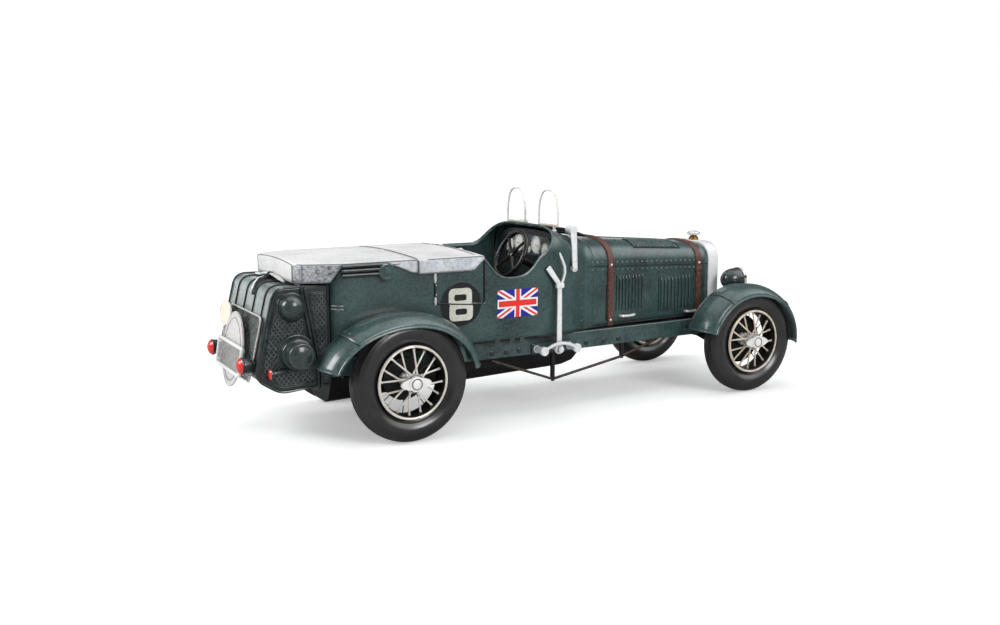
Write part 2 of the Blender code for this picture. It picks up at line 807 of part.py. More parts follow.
def add_axles(car, finishes):
    spring_end = RAIL_BOTTOM - GAP - SPRING_THICKNESS
    shoulder = HALF_TRACK - HUB_INNER_REACH - RUNNING_GAP
    tip = HALF_TRACK + STUB_REACH
    profile = [
        (0.0, tip), (STUB_RADIUS, tip), (STUB_RADIUS, shoulder), (AXLE_RADIUS, shoulder),
        (AXLE_RADIUS, -shoulder), (STUB_RADIUS, -shoulder), (STUB_RADIUS, -tip), (0.0, -tip),
    ]
    under = -AXLE_RADIUS + JOINT_OVERLAP - SPRING_THICKNESS
    seat = RAIL_HALF_SPAN - RAIL_WEB / 2
    rear_springs = [
        leaf_spring((0.0, side * seat), REAR_SPRING_HALF, under, spring_end)
        for side in (-1, 1)
    ]
    drums = [
        rod((0, side * (shoulder - DRUM_DEPTH), 0), (0, side * (shoulder - RUNNING_GAP), 0),
            DRUM_RADIUS, 24)
        for side in (-1, 1)
    ]
    rear = union("rear_axle", lathe(profile, 12, (0, 1, 0)), *rear_springs, *drums)
    place(rear, finishes["black"], car)

    eye = KINGPIN_Y
    bend = eye - EYE_RADIUS * 2.2
    flat = bend - BEAM_DROP * 1.4
    path = [(0, -eye, 0), (0, -bend, 0), (0, -flat, -BEAM_DROP)]
    path += [(0, -y, z) for _, y, z in reversed(path)]
    beam = pipe(path, AXLE_RADIUS, 8)
    eyes = [
        rod((0, side * eye, -EYE_HEIGHT / 2), (0, side * eye, EYE_HEIGHT / 2), EYE_RADIUS)
        for side in (-1, 1)
    ]
    below = -BEAM_DROP + under
    seat = rail_half_span(WHEELBASE) - RAIL_WEB / 2
    front_springs = [
        leaf_spring((0.0, side * seat), FRONT_SPRING_HALF, below, spring_end)
        for side in (-1, 1)
    ]
    front = union("front_axle", beam, *eyes, *front_springs)
    front = cut(front, *[
        rod((0, side * eye, -EYE_HEIGHT), (0, side * eye, EYE_HEIGHT),
            KINGPIN_RADIUS + RUNNING_GAP)
        for side in (-1, 1)
    ])
    place(front, finishes["black"], car, (WHEELBASE, 0, 0))


def make_knuckle(side):
    """Kingpin, yoke, stub axle and steering arm about a kingpin at the local origin."""
    name = "steering_knuckle_" + ("right" if side < 0 else "left")
    plate_low = EYE_HEIGHT / 2 + GAP
    plate_high = plate_low + YOKE_PLATE
    drum_out = side * (KINGPIN_INSET - HUB_INNER_REACH - RUNNING_GAP)
    web_in = side * (EYE_RADIUS + SWING_GAP)
    web_out = drum_out - side * YOKE_PLATE / 4
    pin = rod((0, 0, -plate_high), (0, 0, plate_high), KINGPIN_RADIUS)
    plates = []
    for level in (-plate_high, plate_low):
        edges = sorted((-side * EYE_RADIUS * 0.7, web_out))
        plates.append(block(
            (-EYE_RADIUS * 0.7, edges[0], level),
            (EYE_RADIUS * 0.7, edges[1], level + YOKE_PLATE),
        ))
    edges = sorted((web_in, web_out))
    web = block(
        (-EYE_RADIUS * 0.7, edges[0], -plate_high),
        (EYE_RADIUS * 0.7, edges[1], plate_high),
    )
    stub = rod(
        (0, web_in + side * YOKE_PLATE / 2, 0),
        (0, side * (KINGPIN_INSET + STUB_REACH), 0), STUB_RADIUS,
    )
    arm = block(
        (-STEERING_ARM - TRACK_ROD_EYE, -TRACK_ROD_EYE / 2, -plate_high),
        (0, TRACK_ROD_EYE / 2, -plate_low),
    )
    joint_pin = rod(
        (-STEERING_ARM, 0, -plate_high + YOKE_PLATE / 2),
        (-STEERING_ARM, 0, -plate_low + GAP + 2 * TRACK_ROD_RADIUS),
        TRACK_PIN_RADIUS, 10,
    )
    drum = rod((0, drum_out - side * YOKE_PLATE / 2, 0), (0, drum_out, 0), DRUM_RADIUS, 24)
    return union(name, pin, *plates, web, stub, arm, joint_pin, drum)


def add_steering(car, finishes):
    knuckles = {}
    for name, side in (("right", -1), ("left", 1)):
        pivot = empty("kingpin_" + name, car, (WHEELBASE, side * KINGPIN_Y, 0))
        place(make_knuckle(side), finishes["black"], pivot)
        knuckles[name] = pivot
    height = -EYE_HEIGHT / 2 + TRACK_ROD_RADIUS
    bar = rod((0, -KINGPIN_Y, 0), (0, KINGPIN_Y, 0), TRACK_ROD_RADIUS, 8)
    eyes = [
        rod((0, side * KINGPIN_Y, -TRACK_ROD_RADIUS), (0, side * KINGPIN_Y, TRACK_ROD_RADIUS),
            TRACK_ROD_EYE)
        for side in (-1, 1)
    ]
    track_rod = union("track_rod", bar, *eyes)
    track_rod = cut(track_rod, *[
        rod((0, side * KINGPIN_Y, -3 * TRACK_ROD_RADIUS),
            (0, side * KINGPIN_Y, 3 * TRACK_ROD_RADIUS), TRACK_PIN_RADIUS + RUNNING_GAP, 10)
        for side in (-1, 1)
    ])
    place(track_rod, finishes["black"], car, (WHEELBASE - STEERING_ARM, 0, height))
    return knuckles


def add_chassis(car, finishes):
    stations = (
        RAIL_REAR_END, RAIL_TAPER_START, WHEELBASE, WHEELBASE + HORN_LENGTH * HORN_BEND_SHARE,
        WHEELBASE + HORN_LENGTH,
    )
    for name, side in (("right", -1), ("left", 1)):
        loops = []
        for x in stations:
            top = rail_top(x)
            outer = side * rail_half_span(x)
            inner = outer - side * RAIL_WEB
            loops.append([
                (x, outer, RAIL_BOTTOM), (x, inner, RAIL_BOTTOM), (x, inner, top), (x, outer, top),
            ])
        rail = solid_object("chassis_rail_" + name, skin(bmesh.new(), loops))
        place(rail, finishes["green"], car)
    inner = RAIL_HALF_SPAN - RAIL_WEB - GAP
    low = RAIL_BOTTOM + GAP
    half = CROSS_MEMBER_LENGTH / 2
    rear_x = TANK_FRONT + GAP
    front_inner = rail_half_span(RADIATOR_FRONT) - RAIL_WEB - GAP
    members = (
        ("rear_cross_member", rear_x, rear_x + CROSS_MEMBER_LENGTH, inner,
         low + CROSS_MEMBER_DEPTH),
        ("mid_cross_member", MID_MEMBER_X - half, MID_MEMBER_X + half, inner,
         low + CROSS_MEMBER_DEPTH),
        ("front_cross_member", RADIATOR_REAR, RADIATOR_FRONT, front_inner, RAIL_TOP),
    )
    for name, x0, x1, reach, top in members:
        member = solid_object(name, block((x0, -reach, low), (x1, reach, top)))
        place(member, finishes["green"], car)
    add_belly_pan(car, finishes, low - GAP)
    add_truss_rods(car, finishes)


def add_belly_pan(car, finishes, top):
    front = PAN_REAR + PAN_LENGTH
    depths = (
        (PAN_REAR, PAN_REAR_DEPTH),
        (front - PAN_NOSE, PAN_FRONT_DEPTH),
        (front - PAN_NOSE * 0.4, PAN_FRONT_DEPTH * 0.85),
        (front, PAN_FRONT_DEPTH * 0.5),
    )
    rows = []
    for x, depth in depths:
        bend = PAN_FLAT_HALF + (PAN_HALF_WIDTH - PAN_FLAT_HALF) * 0.65
        right = [
            (PAN_HALF_WIDTH, 0.0), (PAN_HALF_WIDTH, depth * 0.55),
            (bend, depth * 0.88), (PAN_FLAT_HALF, depth),
        ]
        row = [(x, -y, top - drop) for y, drop in right]
        rows.append(row + [(x, y, top - drop) for y, drop in reversed(right)])
    pan = thickened("belly_pan", sheet(rows, (0, 0, top), (True, True)), PAN_SHEET)
    reach = AXLE_RADIUS + RAIL_CLEARANCE
    notch = block((-reach, -PAN_HALF_WIDTH * 2, -reach), (reach, PAN_HALF_WIDTH * 2, top * 3))
    place(cut(pan, notch), finishes["black"], car)


def add_truss_rods(car, finishes):
    foot = RAIL_BOTTOM - GAP - TRUSS_RADIUS
    for name, side in (("right", -1), ("left", 1)):
        def under_rail(x, drop):
            return (x, side * (rail_half_span(x) - RAIL_WEB / 2), foot - drop)
        path = [
            under_rail(TRUSS_REAR_X, 0.0),
            under_rail(TRUSS_STRUT_REAR_X, TRUSS_REAR_DROP),
            under_rail(TRUSS_STRUT_FRONT_X, TRUSS_FRONT_DROP),
            under_rail(TRUSS_FRONT_X, 0.0),
        ]
        struts = [
            rod((x, y, z - TRUSS_STRUT_RADIUS), (x, y, RAIL_BOTTOM - GAP), TRUSS_STRUT_RADIUS, 10)
            for x, y, z in path[1:3]
        ]
        truss = union("truss_rod_" + name, pipe(path, TRUSS_RADIUS, 8), *struts)
        place(truss, finishes["black"], car)


def scuttle_trim():
    """The side view of what is cut away above the body: level behind, swept up at the scuttle."""
    high = SCUTTLE_TOP * 2
    outline = [(BODY_REAR * 2, BODY_TOP)]
    steps = 5
    for k in range(steps + 1):
        share = k / steps
        outline.append((LIP_SWEEP_START + LIP_SWEEP * share, BODY_TOP + SCUTTLE_RISE * share ** 1.8))
    outline += [(LIP_X, high), (BODY_REAR * 2, high)]
    return outline


def elbow_trim():
    """The side view of the dip in the driver's side."""
    low = BODY_TOP - ELBOW_DEPTH
    bottom = (ELBOW_REAR + ELBOW_FRONT) / 2 - ELBOW_DEPTH * 0.3
    return rounded([
        (ELBOW_REAR, SCUTTLE_TOP, 0), (ELBOW_REAR, BODY_TOP, 0),
        (ELBOW_REAR + ELBOW_DEPTH * 0.5, low, ELBOW_DEPTH * 0.6),
        (bottom + ELBOW_DEPTH, low, ELBOW_DEPTH),
        (ELBOW_FRONT, SCUTTLE_TOP - SCUTTLE_RISE * 0.5, 0), (ELBOW_FRONT, SCUTTLE_TOP, 0),
    ])


def add_body(car, finishes):
    stations = [
        BODY_REAR, BODY_REAR + REAR_CORNER_LENGTH * 0.2, BODY_REAR + REAR_CORNER_LENGTH * 0.53,
        BODY_REAR + REAR_CORNER_LENGTH, SCUTTLE_START,
        SCUTTLE_START + SCUTTLE_LENGTH * 0.31, SCUTTLE_START + SCUTTLE_LENGTH * 0.6, BODY_FRONT,
    ]
    rows = [arch_points(x, arch_of(x)) for x in stations]
    middle = ((BODY_REAR + BODY_FRONT) / 2, 0, BODY_BOTTOM)
    tub = thickened("body_tub", sheet(rows, middle, (True, False)), BODY_SHEET)
    wide = BODY_HALF_WIDTH * 2
    tub = cut(
        tub,
        prism(scuttle_trim(), "Y", -wide, wide),
        prism(elbow_trim(), "Y", -wide, -BODY_HALF_WIDTH / 3),
    )
    place(tub, finishes["green"], car)

    side = BODY_HALF_WIDTH - BODY_TUCK - BODY_SHEET - GAP * 2
    corner = BODY_REAR + REAR_CORNER_LENGTH
    floor = prism([
        (BODY_REAR + BODY_SHEET + GAP * 2, -BODY_REAR_HALF_WIDTH + BODY_TUCK * 2),
        (BODY_REAR + BODY_SHEET + GAP * 2, BODY_REAR_HALF_WIDTH - BODY_TUCK * 2),
        (corner, side), (SCUTTLE_START, side),
        (FLOOR_FRONT, body_half_width(FLOOR_FRONT) - BODY_TUCK - BODY_SHEET - GAP),
        (FLOOR_FRONT, -body_half_width(FLOOR_FRONT) + BODY_TUCK + BODY_SHEET + GAP),
        (SCUTTLE_START, -side), (corner, -side),
    ], "Z", FLOOR_BOTTOM, FLOOR_TOP)
    place(solid_object("floor_board", floor), finishes["black"], car)
    add_dashboard(car, finishes)
    add_seat(car, finishes)


def add_dashboard(car, finishes):
    half, tuck, shoulder, top, square = arch_of(DASH_X + DASH_SHEET)
    inset = BODY_SHEET + GAP * 2
    inner = (half - inset, tuck, shoulder, top - inset, square)
    outline = [(y, z) for _, y, z in arch_points(DASH_X, inner) if z > shoulder - GAP]
    bottom = SCUTTLE_TOP - DASH_BOTTOM_DROP
    outline = [(outline[0][0], bottom)] + outline + [(outline[-1][0], bottom)]
    dash = solid_object("dashboard", prism(outline, "X", DASH_X, DASH_X + DASH_SHEET))
    place(dash, finishes["black"], car)


def add_seat(car, finishes):
    base = FLOOR_TOP + GAP
    front = SEAT_BACK_X + SEAT_DEPTH
    face = SEAT_BACK_X + SEAT_BACK_THICKNESS
    roll = SEAT_BACK_THICKNESS * 0.4
    outline = rounded([
        (SEAT_BACK_X, base, 0), (front, base, 0),
        (front, base + SEAT_HEIGHT, SEAT_HEIGHT * 0.3),
        ((front + face) / 2, base + SEAT_HEIGHT + SEAT_CROWN, SEAT_DEPTH * 0.5),
        (face + SEAT_CROWN, base + SEAT_HEIGHT, 0),
        (face, base + SEAT_BACK_HEIGHT, roll), (SEAT_BACK_X, base + SEAT_BACK_HEIGHT, roll),
    ])
    seat = prism(outline, "Y", -SEAT_HALF_WIDTH, SEAT_HALF_WIDTH)
    place(solid_object("front_seat", seat), finishes["hide"], car)


def add_bonnet(car, finishes):
    waist = BONNET_REAR + BONNET_WAIST_X
    stations = [BONNET_REAR, waist, (waist + BONNET_FRONT) / 2, BONNET_FRONT]
    rows = [arch_points(x, bonnet_arch(x)) for x in stations]
    middle = ((BONNET_REAR + BONNET_FRONT) / 2, 0, BODY_BOTTOM)
    bonnet = thickened("bonnet", sheet(rows, middle), BONNET_SHEET)
    place(bonnet, finishes["green"], car)
    straps = (
        ("bonnet_strap_rear", BONNET_REAR + REAR_STRAP_X),
        ("bonnet_strap_front", BONNET_FRONT - FRONT_STRAP_X),
    )
    for name, x in straps:
        rows = []
        for station in (x - STRAP_WIDTH / 2, x + STRAP_WIDTH / 2):
            grow = GAP + STRAP_THICKNESS
            rows.append(arch_points(station, bonnet_arch(station), grow))
        strap = thickened(name, sheet(rows, (x, 0, BODY_BOTTOM)), STRAP_THICKNESS)
        place(strap, finishes["brown"], car)


def radiator_outline(inset):
    half = RADIATOR_HALF_WIDTH - inset
    low = RAIL_TOP + GAP + inset
    high = RADIATOR_TOP - inset
    radius = RADIATOR_TOP_RADIUS - inset
    return rounded([(-half, low, 0), (half, low, 0), (half, high, radius), (-half, high, radius)], 5)


def add_front_end(car, finishes):
    shell = solid_object(
        "radiator_shell", prism(radiator_outline(0.0), "X", RADIATOR_REAR, RADIATOR_FRONT))
    hollow = prism(
        radiator_outline(RADIATOR_WALL), "X", RADIATOR_REAR + RADIATOR_BACK, RADIATOR_FRONT * 2)
    place(cut(shell, hollow), finishes["white"], car)
    core = prism(
        radiator_outline(RADIATOR_WALL + GAP), "X",
        RADIATOR_REAR + RADIATOR_BACK + GAP, RADIATOR_FRONT - RADIATOR_WALL / 2)
    place(solid_object("radiator_core", core), finishes["black"], car)
    cap = lathe([
        (0.0, 0.0), (CAP_RADIUS, 0.0), (CAP_RADIUS, CAP_HEIGHT * 0.30),
        (CAP_RADIUS * 0.6, CAP_HEIGHT * 0.38), (CAP_RADIUS * 0.6, CAP_HEIGHT * 0.50),
        (CAP_RADIUS * 0.9, CAP_HEIGHT * 0.55), (CAP_RADIUS * 0.9, CAP_HEIGHT * 0.85),
        (CAP_RADIUS * 0.4, CAP_HEIGHT), (0.0, CAP_HEIGHT),
    ], 12, (0, 0, 1))
    cap_x = (RADIATOR_REAR + RADIATOR_FRONT) / 2
    place(solid_object("radiator_cap", cap), finishes["brass"], car, (cap_x, 0, RADIATOR_TOP + GAP))
    add_headlamps(car, finishes)


def add_headlamps(car, finishes):
    back = -LAMP_LENGTH * 0.56
    front = LAMP_LENGTH + back
    inner = LAMP_RADIUS - LAMP_WALL
    ledge = front - LENS_THICKNESS
    bowl = [
        (0.0, back), (LAMP_RADIUS * 0.37, back * 0.94), (LAMP_RADIUS * 0.65, back * 0.74),
        (LAMP_RADIUS * 0.90, back * 0.32), (LAMP_RADIUS, front * 0.40), (LAMP_RADIUS, front),
        (inner + GAP, front), (inner + GAP, ledge - GAP), (inner - LAMP_WALL / 2, ledge - GAP),
        (inner * 0.86, 0.0), (inner * 0.55, back * 0.60), (0.0, back * 0.78),
    ]
    glass = [
        (0.0, ledge), (inner, ledge), (inner, ledge + LENS_THICKNESS * 0.6),
        (inner * 0.6, front + LENS_THICKNESS * 0.4), (0.0, front + LENS_THICKNESS * 0.8),
    ]
    bar_top = LAMP_HEIGHT - LAMP_RADIUS - GAP
    bar_end = LAMP_HALF_SPAN + LAMP_BAR_RADIUS * 1.5
    bar_low = LAMP_BAR_HEIGHT - LAMP_BAR_RADIUS * 0.3
    bar_high = LAMP_BAR_HEIGHT + LAMP_BAR_RADIUS * 0.2
    legs = [rod((0, -bar_end, LAMP_BAR_HEIGHT), (0, bar_end, LAMP_BAR_HEIGHT), LAMP_BAR_RADIUS)]
    for name, side in (("right", -1), ("left", 1)):
        seat = (LAMP_X, side * LAMP_HALF_SPAN, LAMP_HEIGHT)
        bucket = solid_object("headlamp_" + name, lathe(bowl, 16, (1, 0, 0)))
        place(bucket, finishes["green"], car, seat)
        lens = solid_object("headlamp_lens_" + name, lathe(glass, 16, (1, 0, 0)))
        place(lens, finishes["glass"], car, seat)
        post_y = side * LAMP_HALF_SPAN
        foot_y = side * (rail_half_span(LAMP_X) - RAIL_WEB / 2)
        legs.append(rod((0, post_y, bar_low), (0, post_y, bar_top), LAMP_BAR_RADIUS * 0.8))
        leg = LAMP_BAR_RADIUS * 0.9
        foot = rail_top(LAMP_X - leg) + GAP
        legs.append(rod((0, foot_y, foot), (0, foot_y, bar_high), leg))
    place(union("headlamp_bar", *legs), finishes["green"], car, (LAMP_X, 0, 0))


def wing_rows(side, inner, crest_gap, nose_gap, tail_gap, angles):
    """Stations of a mudguard about its wheel centre: a crowned strip bent over the tyre."""
    rise = TYRE_RADIUS + crest_gap + WING_SHEET
    nose = TYRE_RADIUS + nose_gap + WING_SHEET
    tail = TYRE_RADIUS + tail_gap + WING_SHEET
    outer = HALF_TRACK + TYRE_WIDTH / 2 + WING_SIDE_GAP
    span = outer - inner
    across = (
        (inner, WING_INNER_DROP), (inner + span * 0.20, WING_INNER_DROP * 0.3),
        (inner + span * 0.42, 0.0), (inner + span * 0.65, WING_CROWN_DROP * 0.16),
        (inner + span * 0.84, WING_CROWN_DROP * 0.45), (inner + span * 0.95, WING_CROWN_DROP * 0.74),
        (outer, WING_CROWN_DROP),
    )
    rows = []
    first, last = (math.radians(angle) for angle in angles)
    for k in range(WING_STATIONS + 1):
        angle = first + (last - first) * k / WING_STATIONS
        reach = nose if math.cos(angle) > 0 else tail
        crest = Vector((reach * math.cos(angle), 0, rise * math.sin(angle)))
        row = []
        for y, drop in across:
            point = crest * (1 - drop / crest.length)
            row.append((point.x, side * y, point.z))
        rows.append(row)
    return rows


def add_mudguards(car, finishes):
    rear_inner = BODY_HALF_WIDTH + GAP
    for name, side in (("right", -1), ("left", 1)):
        rows = wing_rows(side, rear_inner, REAR_WING_GAP, REAR_WING_NOSE_GAP, REAR_WING_TAIL_GAP,
                         REAR_WING_ANGLES)
        rear = thickened("rear_mudguard_" + name, sheet(rows, (0, side * HALF_TRACK, 0)),
                         WING_SHEET)
        place(rear, finishes["green"], car)
        rows = wing_rows(side, FRONT_WING_INNER, FRONT_WING_GAP, FRONT_WING_NOSE_GAP,
                         FRONT_WING_TAIL_GAP, FRONT_WING_ANGLES)
        front = thickened("front_mudguard_" + name, sheet(rows, (0, side * HALF_TRACK, 0)),
                          WING_SHEET)
        tail = rows[-2]
        stay_x = tail[1][0] + WING_SHEET / 2
        stay_z = tail[1][2]
        rail_y = side * (rail_half_span(WHEELBASE + stay_x) + GAP)
        lower = RAIL_TOP - RAIL_DEPTH / 3
        stay = pipe([
            (stay_x, tail[2][1], stay_z), (stay_x, side * FRONT_WING_INNER, stay_z),
            (stay_x, rail_y + side * STAY_RADIUS * 4, lower), (stay_x, rail_y, lower),
        ], STAY_RADIUS, 8)
        stay_item = solid_object("stay", stay)
        front = combine(front, [stay_item], "UNION")
        front.name = "front_mudguard_" + name
        place(front, finishes["green"], car, (WHEELBASE, 0, 0))


def tank_outline(front, inset=0.0):
    """The tank's side view up to a front end, or the hollow inside its sheet."""
    rear_top = TANK_FRONT - TANK_TOP_LENGTH + inset
    rear = TANK_FRONT - TANK_LENGTH + inset
    return rounded([
        (front, TANK_FRONT_BOTTOM + inset, 0), (front, TANK_TOP - inset, 0),
        (rear_top, TANK_TOP - inset, TANK_TOP_ROUND - inset),
        (rear, TANK_TAIL_HEIGHT, TANK_TAIL_ROUND - inset),
        (TANK_FRONT - TANK_BOTTOM_LENGTH, TANK_BOTTOM + inset, TANK_TAIL_ROUND / 2 - inset),
    ])


def tank_rear_x(z):
    """Where the leaning rear face of the tank lies at a height."""
    rear_top = TANK_FRONT - TANK_TOP_LENGTH
    rear = TANK_FRONT - TANK_LENGTH
    share = (TANK_TOP - z) / (TANK_TOP - TANK_TAIL_HEIGHT)
    return rear_top + (rear - rear_top) * share


def add_tail(car, finishes):
    tank = solid_object(
        "fuel_tank", prism(tank_outline(TANK_FRONT), "Y", -TANK_HALF_WIDTH, TANK_HALF_WIDTH))
    inside = TANK_HALF_WIDTH - TANK_SHEET
    hollow = prism(tank_outline(TANK_FRONT + TANK_LENGTH, TANK_SHEET), "Y", -inside, inside)
    place(cut(tank, hollow), finishes["green"], car)
    half = TANK_STRAP_WIDTH / 2
    inner = TANK_HALF_WIDTH + GAP
    outer = inner + TANK_STRAP_THICKNESS
    low = TANK_BOTTOM - GAP
    high = TANK_TOP + GAP
    band = solid_object("tank_strap", block(
        (TANK_STRAP_X - half, -outer, low - TANK_STRAP_THICKNESS),
        (TANK_STRAP_X + half, outer, high + TANK_STRAP_THICKNESS)))
    band = cut(band, block(
        (TANK_STRAP_X - half * 3, -inner, low), (TANK_STRAP_X + half * 3, inner, high)))
    place(band, finishes["black"], car)
    add_filler_caps(car, finishes)
    add_number_board(car, finishes)
    add_tail_lamps(car, finishes)


def add_filler_caps(car, finishes):
    upper = [
        (0.0, 0.0), (UPPER_CAP_RADIUS + UPPER_FLANGE_RIM, 0.0),
        (UPPER_CAP_RADIUS + UPPER_FLANGE_RIM, CAP_FLANGE),
        (UPPER_CAP_RADIUS, CAP_FLANGE), (UPPER_CAP_RADIUS, UPPER_CAP_REACH * 0.55),
        (UPPER_CAP_RADIUS * 0.86, UPPER_CAP_REACH * 0.80),
        (UPPER_CAP_RADIUS * 0.5, UPPER_CAP_REACH * 0.95), (0.0, UPPER_CAP_REACH),
    ]
    lower = [
        (0.0, 0.0), (LOWER_CAP_RADIUS + LOWER_FLANGE_RIM, 0.0),
        (LOWER_CAP_RADIUS + LOWER_FLANGE_RIM, CAP_FLANGE),
        (LOWER_CAP_RADIUS + LOWER_STEP_RIM, CAP_FLANGE),
        (LOWER_CAP_RADIUS + LOWER_STEP_RIM, LOWER_CAP_REACH * 0.4),
        (LOWER_CAP_RADIUS, LOWER_CAP_REACH * 0.4), (LOWER_CAP_RADIUS, LOWER_CAP_REACH * 0.95),
        (LOWER_CAP_RADIUS * 0.93, LOWER_CAP_REACH), (0.0, LOWER_CAP_REACH),
    ]
    side = -TANK_HALF_WIDTH - GAP
    caps = (
        ("upper_filler_cap", upper, (UPPER_CAP_X, side, UPPER_CAP_Z)),
        ("lower_filler_cap", lower, (LOWER_CAP_X, side, LOWER_CAP_Z)),
    )
    for name, profile, seat in caps:
        cap = solid_object(name, lathe(profile, 16, (0, -1, 0)))
        place(cap, finishes["green"], car, seat)


def add_number_board(car, finishes):
    """Leaning oval board with a blank plate, and an oval disc on a stem beside it."""
    half = BOARD_SHEET / 2
    board = prism(oval(BOARD_HALF_WIDTH, BOARD_HALF_HEIGHT, 24, 1.8), "X", -half, half)
    plate = block(
        (-half - PLATE_SHEET, -PLATE_HALF_WIDTH, -PLATE_DROP - PLATE_HALF_HEIGHT),
        (half * 0.4, PLATE_HALF_WIDTH, -PLATE_DROP + PLATE_HALF_HEIGHT))
    disc = prism(
        [(y + DISC_OFFSET, z + DISC_RISE)
         for y, z in oval(DISC_HALF_WIDTH, DISC_HALF_HEIGHT, 16)], "X", -half, half)
    stem = rod((-half, DISC_OFFSET, -PLATE_DROP), (-half, DISC_OFFSET, DISC_RISE),
               PLATE_SHEET / 2, 8)
    reach = tank_rear_x(BOARD_Z) - BOARD_X - GAP
    bracket = block((0, -BOARD_HALF_WIDTH * 0.3, -PLATE_SHEET * 1.5),
                    (reach, BOARD_HALF_WIDTH * 0.3, PLATE_SHEET * 1.5))
    number_board = union("number_board", board, plate, disc, stem, bracket)
    place(number_board, finishes["cream"], car, (BOARD_X, 0, BOARD_Z), (0, BOARD_LEAN, 0))


def add_tail_lamps(car, finishes):
    body = TAIL_LAMP_LENGTH * 0.72
    profile = [
        (0.0, 0.0), (TAIL_LAMP_RADIUS * 0.86, 0.0), (TAIL_LAMP_RADIUS * 0.92, body * 0.9),
        (TAIL_LAMP_RADIUS, body * 0.9), (TAIL_LAMP_RADIUS, body),
        (TAIL_LAMP_RADIUS * 0.86, body), (TAIL_LAMP_RADIUS * 0.7, TAIL_LAMP_LENGTH * 0.9),
        (TAIL_LAMP_RADIUS * 0.35, TAIL_LAMP_LENGTH * 0.98), (0.0, TAIL_LAMP_LENGTH),
    ]
    for name, side in (("right", -1), ("left", 1)):
        lamp = solid_object("tail_lamp_" + name, lathe(profile, 14, (-1, 0, 0)))
        seat = (TAIL_LAMP_FRONT, side * TAIL_LAMP_SPAN / 2, TAIL_LAMP_Z)
        place(lamp, finishes["red"], car, seat)


def cover_row(x, half, skirt_bottom):
    """A section of the cover: skirt, edge, crowned top, edge, skirt."""
    right = [(half, skirt_bottom), (half, COVER_TOP - COVER_SHEET / 3),
             (half - COVER_SHEET, COVER_TOP)]
    for share in (0.75, 0.45, 0.0):
        right.append((half * share, COVER_TOP + COVER_CROWN * (1 - share * share)))
    row = [(x, -y, z) for y, z in right]
    return row + [(x, y, z) for y, z in reversed(right[:-1])]


def add_covers(car, finishes):
    edge = BODY_HALF_WIDTH + COVER_SIDE_GAP
    flush = BODY_HALF_WIDTH + GAP
    skirt = BODY_TOP + GAP - COVER_REAR_SKIRT
    hem = BODY_TOP + GAP
    shoulder = BODY_REAR + REAR_CORNER_LENGTH * 0.3
    rows = [
        cover_row(COVER_REAR, COVER_REAR_HALF_WIDTH, skirt),
        cover_row(COVER_REAR + COVER_CORNER_LENGTH, COVER_REAR_HALF_WIDTH + COVER_CORNER_WIDTH,
                  skirt),
        cover_row(shoulder, BODY_HALF_WIDTH - COVER_SHEET * 0.6, skirt),
        cover_row(IRON_REAR - GAP * 2, flush + COVER_SHEET, (skirt + hem) / 2),
        cover_row(IRON_REAR + COVER_SHEET, flush, hem),
        cover_row(COVER_SPLIT - GAP, flush, hem),
    ]
    middle = ((COVER_REAR + COVER_SPLIT) / 2, 0, skirt)
    rear = thickened("tonneau_rear", sheet(rows, middle, (True, False)), COVER_SHEET)
    place(rear, finishes["white"], car)
    low = BODY_TOP + GAP - COVER_SKIRT
    rows = [
        cover_row(COVER_SPLIT, edge, low), cover_row(COVER_FRONT - COVER_SKIRT, edge, low),
        cover_row(COVER_FRONT, edge, hem),
    ]
    middle = ((COVER_FRONT + COVER_SPLIT) / 2, 0, low)
    front = thickened("tonneau_front", sheet(rows, middle), COVER_SHEET)
    place(front, finishes["white"], car)


def add_hood_irons(car, finishes):
    height = BODY_TOP - IRON_PIVOT_DROP
    for name, side in (("right", -1), ("left", 1)):
        near = side * (BODY_HALF_WIDTH + GAP)
        line = near + side * (IRON_RADIUS + GAP)
        disc = rod((IRON_PIVOT_X, near, height),
                   (IRON_PIVOT_X, near + side * IRON_RADIUS * 2.4, height), IRON_PIVOT_RADIUS, 20)
        bars = [
            rod((IRON_REAR + COVER_SHEET, line, height + IRON_PITCH * k),
                (IRON_PIVOT_X, line, height + IRON_PITCH * k), IRON_RADIUS, 8)
            for k in (-1, 0, 1)
        ]
        place(union("hood_irons_" + name, disc, *bars), finishes["green"], car)


